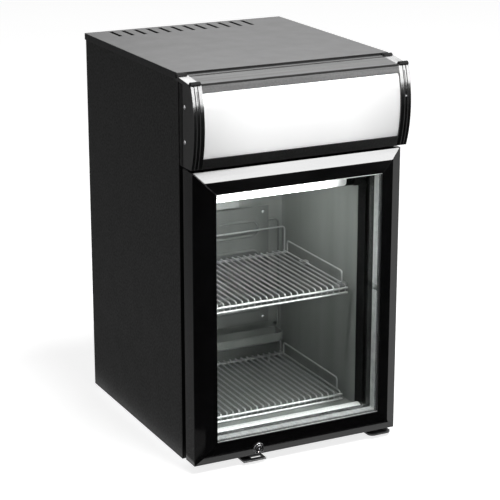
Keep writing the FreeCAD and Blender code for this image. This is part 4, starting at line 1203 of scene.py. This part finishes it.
@dataclass
class Door:
    """The glass door with its mitred frame, its sealed panes, its gasket and its lock."""

    rail: float = 40 * MM
    lip_back: float = -224.25 * MM
    gasket_in: Pair = (10 * MM, 24 * MM)
    edge: float = 1.0 * MM
    trim_inset: float = 0.4 * MM
    trim_front: float = 3.4 * MM
    trim_size: Pair = (0.8 * MM, 1.1 * MM)
    key_size: Pair = (9 * MM, 8.6 * MM)
    key_gap: float = 1 * MM
    sleeve_inset: Pair = (8.5 * MM, 0.2 * MM)
    sleeve_gap: float = 0.6 * MM
    sleeve_half: float = 6 * MM
    sleeve_lift: float = 12 * MM
    plug_rim: float = 0.6 * MM
    plug_dome: float = 0.1 * MM
    keyway: float = 2.4 * MM

    def build(self) -> None:
        """Dress the frame and the glass, and add the bead, trims, gasket, spacer keys and lock."""
        coat(FRAME_GLOSS, "door_top_rail", "door_bottom_rail", "door_left_stile", "door_right_stile",
             edge=self.edge, angle=10.0)
        coat(CLEAR_GLASS, "outer_pane", "inner_pane")
        coat(SPACER_BAR, "pane_spacer")
        coat(MATT_DARK, "hinge_bushes")
        coat(BRACKET_COAT, "upper_hinge", "lower_hinge", "lock_strike", edge=0.6 * MM)
        coat(LOCK_PLATE, "lock_housing", edge=0.6 * MM, steps=3)
        coat(BRIGHT_PLATE, "lock_cam", edge=0.3 * MM)
        self.press_bead()
        self.lay_trims()
        self.press_gasket()
        self.fit_spacer()
        self.fit_lock()

    def corners(self) -> tuple[Pair, Pair]:
        """Give the outer corners of the door frame.

        Returns:
            The lowest X and Z, then the highest X and Z.
        """
        low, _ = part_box("door_left_stile")
        _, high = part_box("door_right_stile")
        return (low.x, low.z), (high.x, high.z)

    def press_bead(self) -> None:
        """Press the glazing bead into the corner between the frame's lip and the outer pane."""
        back, lip = self.lip_back, self.rail
        section = ((lip - 0.4 * MM, back), (lip - 0.4 * MM, back - 3.0 * MM),
                   (lip + 0.3 * MM, back - 2.8 * MM), (lip + 1.2 * MM, back - 1.6 * MM),
                   (lip + 1.6 * MM, back - 0.6 * MM), (lip + 1.7 * MM, back))
        add_piece("glazing_bead", framed(section, *self.corners()), GASKET, Body.DOOR, crease=50)

    def lay_trims(self) -> None:
        """Lay the slim bright trims along the upper and lower edges of the glass."""
        (left, base), (right, top) = self.corners()
        inset, front = self.rail + self.trim_inset, self.lip_back - self.trim_front
        thick, tall = self.trim_size
        strips = [slab((left + inset, front, z), (right - inset, front + thick, z + tall), edge=0.25 * MM)
                  for z in (base + inset, top - inset - tall)]
        add_piece("glazing_trims", joined(strips), TRIM_METAL, Body.DOOR)

    def press_gasket(self) -> None:
        """Press the hollow bellows gasket into the back of the door."""
        low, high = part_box("door_gasket")
        inner, outer = self.gasket_in
        front, back = low.y, high.y
        wide = outer - inner
        shape = ((0.06, 0.0), (0.06, 0.14), (0.24, 0.26), (0.24, 0.34), (0.03, 0.5), (0.0, 0.62), (0.03, 0.8),
                 (0.12, 0.94), (0.28, 1.0), (0.72, 1.0), (0.88, 0.94), (0.97, 0.8), (1.0, 0.62), (0.97, 0.5),
                 (0.76, 0.34), (0.76, 0.26), (0.94, 0.14), (0.94, 0.0))
        section = [(inner + wide * across, front + (back - front) * along) for across, along in shape]
        gasket = add_piece("bellows_gasket", framed(section, *self.corners()), GASKET, Body.DOOR, crease=60)
        stand_for(gasket, "door_gasket")

    def fit_spacer(self) -> None:
        """Fit the corner keys of the spacer and the sleeve of its joint."""
        low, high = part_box("pane_spacer")
        arm, thick = self.key_size
        places = each_place((low.x, high.x - arm), (low.y + self.key_gap,), (low.z, high.z - thick))
        keys = [slab((x, y, z), (x + arm, high.y - self.key_gap, z + thick), edge=0.4 * MM)
                for x, y, z in places]
        add_piece("spacer_keys", joined(keys), GREY_PLASTIC, Body.DOOR)
        middle = (low.z + high.z) / 2 + self.sleeve_lift
        left, right = (high.x - inset for inset in self.sleeve_inset)
        sleeve = slab((left, low.y + self.sleeve_gap, middle - self.sleeve_half),
                      (right, high.y - self.sleeve_gap, middle + self.sleeve_half), edge=0.3 * MM)
        add_piece("spacer_sleeve", sleeve, BRIGHT_PLATE, Body.DOOR)

    def fit_lock(self) -> None:
        """Turn the lock plug with its keyway."""
        low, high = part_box("lock_plug")
        radius = (high.x - low.x) / 2
        x, z = (low.x + high.x) / 2, (low.z + high.z) / 2
        base = low.y + self.plug_rim + self.plug_dome
        face = headed(radius, self.plug_rim, Recess.SLOT, self.keyway, self.plug_dome)
        barrel = lathe(((radius, 0.0), (radius, base - high.y), (0, base - high.y)))
        form = placed(joined([face, barrel]), (x, base, z), (0, -1, 0))
        plug = add_piece("keyed_plug", form, LOCK_PLATE, Body.LOCK)
        stand_for(plug, "lock_plug")


@dataclass
class ColdRoom:
    """The aluminium cold room with its cold plate, gutter, thermostat, lamp and wire shelves."""

    knob_flutes: int = 18
    flute_depth: float = 1.2 * MM
    knob_front: float = 2 * MM
    knob_back: float = 10.3 * MM
    shaft_radius: float = 3 * MM
    shaft_lap: float = 1 * MM
    pointer_half: float = 1.1 * MM
    pointer_front: float = 0.6 * MM
    pointer_start: float = 1 * MM
    pointer_sink: float = 2 * MM
    tick_count: int = 7
    tick_step: float = 45.0
    tick_gap: float = 2.2 * MM
    tick_length: float = 3 * MM
    tick_radius: float = 0.45 * MM
    tick_stand: float = 0.1 * MM
    bracket_inset: float = 6 * MM
    bracket_face: float = 2.7 * MM
    box_inset: float = 8 * MM
    holder_reach: Pair = (8 * MM, 16 * MM)
    holder_wall: float = 0.8 * MM
    nose: Place = (13.5 * MM, 6 * MM, 7.5 * MM)
    nose_back: float = 1 * MM
    nose_sink: float = 0.1 * MM
    nose_gap: float = 0.2 * MM

    def build(self) -> None:
        """Dress the cold room and add the knob, its scale, the screws, the lamp holders and the nose."""
        coat(LINER_METAL, "liner")
        coat(SILL_METAL, "sill_plate", edge=0.3 * MM)
        coat(BREAKER_BLACK, "front_post_left", "front_post_right", "front_header", "front_sill",
             edge=0.8 * MM)
        coat(PLATE_METAL, "evaporator_plate")
        coat(MATT_DARK, "evaporator_brackets")
        coat(LINER_METAL, "drip_gutter")
        coat(PLATE_METAL, "suction_line")
        coat(GREY_PLASTIC, "thermostat_box", edge=2.5 * MM, steps=4)
        coat(MATT_DARK, "lamp_housing", edge=0.6 * MM)
        coat(LAMP_WHITE, "lamp_diffuser")
        coat(WIRE_PLATE, "upper_shelf_grid", "lower_shelf_grid", "upper_shelf_fence", "lower_shelf_fence")
        coat(TRIM_METAL, "shelf_clips", edge=0.6 * MM)
        self.turn_knob()
        self.print_scale()
        self.drive_screws()
        self.hold_lamp()
        self.round_sill()

    def round_sill(self) -> None:
        """Lay the rounded bright nose along the sill, clear of the lower shelf's travel."""
        low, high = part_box("sill_plate")
        front, back, tall = self.nose
        middle, base = low.y + front + self.nose_back, high.z - self.nose_sink
        arc: list[Pair] = []
        for turn in half_turns(24):
            reach = front if turn < math.pi / 2 else back
            arc.append((middle - reach * math.cos(turn), base + tall * math.sin(turn)))
        nose = extruded(arc, low.x + self.nose_gap, high.x - self.nose_gap)
        add_piece("sill_nose", nose, NOSE_METAL, Body.CABINET, crease=50)

    def hold_lamp(self) -> None:
        """Slip the dark holders over both ends of the lamp."""
        low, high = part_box("lamp_diffuser")
        middle, radius = (low.y + high.y) / 2, (high.y - low.y) / 2 + self.holder_wall
        centre = low.z + radius - self.holder_wall
        arc = [(middle - radius * math.cos(turn), centre - radius * math.sin(turn))
               for turn in half_turns(12)]
        section = [(middle - radius, high.z), *arc, (middle + radius, high.z)]
        left, right = self.holder_reach
        ends = [extruded(section, low.x, low.x + left), extruded(section, high.x - right, high.x)]
        add_piece("lamp_holders", joined(ends), SEAM_BLACK, Body.CABINET)

    def turn_knob(self) -> None:
        """Turn the fluted knob with its pointer, and its shaft."""
        low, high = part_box("thermostat_knob")
        radius = (high.x - low.x) / 2
        x, z = (low.x + high.x) / 2, (low.z + high.z) / 2
        front, back = low.y + self.knob_front, high.y - self.knob_back
        tall = back - front
        profile = ((0, tall), (radius * 0.86, tall), (radius * 0.98, tall - 0.6 * MM),
                   (radius, tall - 1.6 * MM), (radius * 0.98, 0.4 * tall), (radius * 0.93, 1.2 * MM),
                   (radius * 0.85, 0.3 * MM), (radius * 0.7, 0.0), (radius * 0.6, 0.7 * MM), (0, 0.9 * MM))
        grip = placed(fluted(profile, self.knob_flutes, self.flute_depth), (x, front, z), (0, 1, 0))
        shaft = rod((x, back - self.shaft_lap, z), (x, high.y, z), self.shaft_radius, sides=24)
        pointer = slab((x - self.pointer_half, low.y + self.pointer_front, z + self.pointer_start),
                       (x + self.pointer_half, front + self.pointer_sink, z + radius * 0.8), edge=0.5 * MM)
        knob = add_piece("fluted_knob", joined([grip, shaft]), MATT_DARK, Body.KNOB)
        stand_for(knob, "thermostat_knob")
        add_piece("knob_pointer", pointer, GREY_PLASTIC, Body.KNOB)

    def print_scale(self) -> None:
        """Set the raised ticks of the thermostat's scale round the knob."""
        low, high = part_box("thermostat_knob")
        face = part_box("thermostat_box")[0].y - self.tick_stand
        x, z = (low.x + high.x) / 2, (low.z + high.z) / 2
        inner = (high.x - low.x) / 2 + self.tick_gap
        ticks: list[Form] = []
        for index in range(self.tick_count):
            turn = math.radians(90 - self.tick_step * index)
            start, end = ((x + reach * math.cos(turn), face, z + reach * math.sin(turn))
                          for reach in (inner, inner + self.tick_length))
            ticks.append(rod(start, end, self.tick_radius))
        add_piece("thermostat_scale", joined(ticks), MATT_DARK, Body.CABINET)

    def drive_screws(self) -> None:
        """Drive the screws of the cold plate and of the thermostat housing."""
        low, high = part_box("evaporator_brackets")
        front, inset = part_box("evaporator_plate")[0].y + self.bracket_face, self.bracket_inset
        places = each_place((low.x + inset, high.x - inset), (front,), (low.z + inset, high.z - inset))
        low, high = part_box("thermostat_box")
        inset = self.box_inset
        places += each_place((low.x + inset, high.x - inset), (low.y,), ((low.z + high.z) / 2,))
        heads = screws(places, (0, -1, 0), radius=3.0 * MM, height=1.0 * MM)
        add_piece("cold_room_screws", heads, BRIGHT_PLATE, Body.CABINET)


@dataclass
class Machine:
    """The cooling machine on the deck and the condenser in the duct behind."""

    wire_count: int = 44
    wire: float = 0.75 * MM
    wire_inset: float = 14 * MM
    wire_reach: Pair = (-4 * MM, 405 * MM)
    seam: float = 1.6 * MM
    seam_sides: int = 8
    seam_level: float = 0.52
    can_lap: float = 8 * MM
    can_corner: float = 44 * MM
    corner_steps: int = 12
    stub_reach: Pair = (-2 * MM, 26 * MM)
    stub_lift: float = 14 * MM
    stub_radius: float = 3 * MM

    def build(self) -> None:
        """Dress the machine and add the condenser's wires and the compressor's seam."""
        coat(INNER_COAT, "compressor", "condenser")
        coat(RUBBER, "compressor_mounts")
        coat(MATT_DARK, "terminal_cover", edge=2.0 * MM, steps=3)
        coat(ZINC, "lamp_driver", edge=1.0 * MM)
        coat(COPPER, "filter_drier", "discharge_line")
        self.weld_wires()
        self.weld_seam()

    def weld_wires(self) -> None:
        """Weld the upright wires across the tubes of the condenser."""
        low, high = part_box("condenser")
        x_reach = high.x - self.wire_inset
        y = high.y + self.wire * 0.6
        base, top = (low.z + reach for reach in self.wire_reach)
        forms: list[Form] = []
        for index in range(self.wire_count):
            x = x_reach * (2 * index / (self.wire_count - 1) - 1)
            forms.append(rod((x, y, base), (x, y, top), self.wire, sides=8))
        add_piece("condenser_wires", joined(forms), INNER_COAT, Body.CABINET)

    def weld_seam(self) -> None:
        """Weld the seam round the middle of the compressor's can and its filling stub."""
        low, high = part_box("compressor")
        lap, corner = self.can_lap, self.can_corner
        x0, x1, y0, y1 = low.x + lap, high.x - lap, low.y + lap, high.y - lap
        z = low.z + self.seam_level * (high.z - low.z)
        outline: list[Vector] = []
        for cx, cy, start in ((x1 - corner, y1 - corner, 0), (x0 + corner, y1 - corner, 90),
                              (x0 + corner, y0 + corner, 180), (x1 - corner, y0 + corner, 270)):
            for step in range(self.corner_steps + 1):
                turn = math.radians(start + 90 * step / self.corner_steps)
                outline.append(Vector((cx + corner * math.cos(turn), cy + corner * math.sin(turn), z)))
        form = bmesh.new()
        rings: list[Ring] = []
        middle = Vector(((x0 + x1) / 2, (y0 + y1) / 2, z))
        for point in outline:
            out = (point - middle).normalized()
            ring = [point + out * self.seam * math.cos(turn) + Vector((0, 0, self.seam * math.sin(turn)))
                    for turn in (math.tau * step / self.seam_sides for step in range(self.seam_sides))]
            rings.append([form.verts.new(place) for place in ring])
        bridge_all(form, rings + rings[:1])
        add_piece("compressor_seam", form, INNER_COAT, Body.CABINET)
        start, end = ((x1 + reach, (y0 + y1) / 2, z + self.stub_lift) for reach in self.stub_reach)
        add_piece("filling_stub", rod(start, end, self.stub_radius, sides=20), COPPER, Body.CABINET)


# Studio

FLAG_LIFT = 3 * MM
CARD_LIFT = 4 * MM


@dataclass
class Lamp:
    """One area lamp: its place, its target, its size, its power, and the pieces that it spares or picks."""

    name: str
    place: Place
    target: Place
    size: Pair
    power: float
    gloss_only: bool = False
    spares: tuple[str, ...] = ()
    picks: tuple[str, ...] = ()

    def hang(self) -> None:
        """Hang the lamp and point it at its target."""
        light = bpy.data.lights.new(self.name, "AREA")
        light.shape = "RECTANGLE"
        light.size, light.size_y = self.size
        light.energy = self.power
        lamp = bpy.data.objects.new(self.name, light)
        lamp.location = self.place
        lamp.visible_diffuse = not self.gloss_only
        lamp.rotation_mode = "QUATERNION"
        lamp.rotation_quaternion = (Vector(self.target) - Vector(self.place)).to_track_quat("-Z", "Y")
        bpy.context.scene.collection.objects.link(lamp)
        named = self.spares or self.picks
        if named:
            linked = bpy.data.collections.new(f"{self.name}_linked")
            for name in named:
                linked.objects.link(bpy.data.objects[name])
            for holder in linked.collection_objects:
                holder.light_linking.link_state = "EXCLUDE" if self.spares else "INCLUDE"
            lamp.light_linking.receiver_collection = linked
        LOG.info("%s: lamp of %.0f W", self.name, self.power)


@dataclass
class Flag:
    """A dark or grey studio card that only reflections see: its corners on a plane, and its finish."""

    name: str
    corners: tuple[Place, ...]
    finish: Finish = FLAG_BLACK

    def stand(self) -> None:
        """Stand the card in its place."""
        form = bmesh.new()
        form.faces.new([form.verts.new(corner) for corner in self.corners])
        card = set_in_scene(self.name, form, self.veiled(self.finish.material()))
        card.visible_camera = False
        card.visible_diffuse = False
        card.visible_shadow = False

    @staticmethod
    def veiled(material: bpy.types.Material) -> bpy.types.Material:
        """Let the eye look through the card, also behind glass, so that only reflections meet it.

        Args:
            material: the material of the card.

        Returns:
            The same material.
        """
        nodes, links = material.node_tree.nodes, material.node_tree.links
        surface = nodes["Material Output"].inputs["Surface"]
        shader = surface.links[0].from_socket
        if shader.node.type == "MIX_SHADER":
            return material
        mixed = nodes.new("ShaderNodeMixShader")
        links.new(nodes.new("ShaderNodeLightPath").outputs["Glossy Depth"], mixed.inputs[0])
        links.new(nodes.new("ShaderNodeBsdfTransparent").outputs[0], mixed.inputs[1])
        links.new(shader, mixed.inputs[2])
        links.new(mixed.outputs[0], surface)
        return material


@dataclass
class Studio:
    """The pale floor, the white surroundings, the soft lamps, the studio cards and the camera."""

    fill: float = 0.2
    floor_glow: float = 0.8
    floor_colour: Colour = (0.5, 0.5, 0.5)
    floor_reach: float = 30.0
    eye: Place = (-1.4000, -2.8176, 1.2909)
    yaw: float = 26.702
    pitch: float = -17.124
    lens: float = 129.41
    sensor: float = 36.0
    far_clip: float = 200.0
    lamps: tuple[Lamp, ...] = (
        Lamp("reflector", (1.16, -2.25, 1.36), (0.0, -0.2, 0.6), (1.0, 0.85), 88.0, gloss_only=True,
             spares=("top_cover",)),
        Lamp("back_reflector", (1.29, 2.1, 2.13), (0.0, -0.2, 0.69), (1.3, 0.8), 15.0, gloss_only=True),
        Lamp("key", (0.5, -1.6, 4.2), (0.0, -0.2, 0.2), (1.4, 1.4), 190.0),
        Lamp("sill_lamp", (0.0, -1.0, 3.0), (0.0, -0.18, 0.05), (0.8, 0.8), 46.0,
             picks=("sill_plate", "sill_nose", "pane_spacer")),
    )
    cards: tuple[Flag, ...] = (
        Flag("front_flag", ((-1.8, -0.2345, FLAG_LIFT), (0.24, -0.2345, FLAG_LIFT), (1.6, -1.15, FLAG_LIFT),
                            (2.6, -1.8, FLAG_LIFT), (2.6, -3.2, FLAG_LIFT), (-1.8, -3.2, FLAG_LIFT))),
        Flag("far_flag", ((-1.8, -3.2, FLAG_LIFT), (2.2, -3.2, FLAG_LIFT),
                          (2.2, -3.2, 0.9), (-1.8, -3.2, 0.9))),
        Flag("side_flag", ((-3.5, -0.4, CARD_LIFT), (-0.22, -0.4, CARD_LIFT), (-0.22, 4.0, CARD_LIFT),
                           (-3.5, 4.0, CARD_LIFT)), CARD_GREY),
        Flag("rear_flag", ((-3.5, 4.0, CARD_LIFT), (-0.6, 4.0, CARD_LIFT),
                           (-0.6, 4.0, 1.6), (-3.5, 4.0, 1.6))),
    )

    def build(self) -> None:
        """Set up the whole studio."""
        bpy.context.scene.view_settings.view_transform = "Standard"
        self.lay_floor()
        self.light_world()
        for lamp in self.lamps:
            lamp.hang()
        for card in self.cards:
            card.stand()
        self.set_camera()

    @staticmethod
    def seen(nodes: bpy.types.Nodes, links: bpy.types.NodeLinks) -> Socket:
        """Tell what the camera sees, plain or by reflection or through glass, from other light.

        Args:
            nodes: the nodes that take the sum.
            links: the links between them.

        Returns:
            A socket with 1 for what is seen and 0 for other light.
        """
        path = nodes.new("ShaderNodeLightPath")
        total = path.outputs["Is Camera Ray"]
        for kind in ("Is Glossy Ray", "Is Transmission Ray"):
            both = nodes.new("ShaderNodeMath")
            both.operation = "MAXIMUM"
            links.new(total, both.inputs[0])
            links.new(path.outputs[kind], both.inputs[1])
            total = both.outputs[0]
        return total

    def lay_floor(self) -> None:
        """Lay the floor, white to the eye but for the soft shade under the cabinet."""
        graph = Graph("studio_floor")
        duller = tuple(part * 0.99 for part in self.floor_colour)
        graph.feed(graph.tint(graph.noise(3.0), duller, self.floor_colour), "Base Color")
        graph.fix("Roughness", 0.9)
        graph.fix("Specular IOR Level", 0.0)
        graph.fix("Emission Color", (1.0, 1.0, 1.0))
        glow = graph.calc("MULTIPLY", self.seen(graph.nodes, graph.links), self.floor_glow)
        graph.feed(glow, "Emission Strength")
        form = bmesh.new()
        bmesh.ops.create_grid(form, x_segments=4, y_segments=4, size=self.floor_reach)
        floor = set_in_scene("floor", form, graph.material)

    def light_world(self) -> None:
        """Make the surroundings white to the eye, with a plain fill for all other light."""
        world = bpy.data.worlds.new("studio")
        bpy.context.scene.world = world
        world.use_nodes = True
        nodes, links = world.node_tree.nodes, world.node_tree.links
        sky = nodes["Background"]
        sky.inputs["Color"].default_value = (1.0, 1.0, 1.0, 1.0)
        level = nodes.new("ShaderNodeMapRange")
        links.new(self.seen(nodes, links), level.inputs["Value"])
        level.inputs["To Min"].default_value = self.fill
        level.inputs["To Max"].default_value = 1.0
        links.new(level.outputs["Result"], sky.inputs["Strength"])

    def set_camera(self) -> None:
        """Set the camera at the photograph's viewing angle."""
        data = bpy.data.cameras.new("camera")
        data.sensor_width = self.sensor
        data.lens = self.lens
        data.clip_end = self.far_clip
        camera = bpy.data.objects.new("camera", data)
        camera.location = self.eye
        camera.rotation_euler = (math.radians(90 + self.pitch), 0.0, math.radians(-self.yaw))
        bpy.context.scene.collection.objects.link(camera)
        bpy.context.scene.camera = camera


def main() -> None:
    """Build the sub-assemblies in order, then the studio."""
    logging.basicConfig(level=logging.INFO, format="%(message)s")
    for part in (CabinetShell(), Canopy(), Door(), ColdRoom(), Machine(), Studio()):
        LOG.info("building %s", type(part).__name__)
        part.build()


if __name__ == "__main__":
    main()
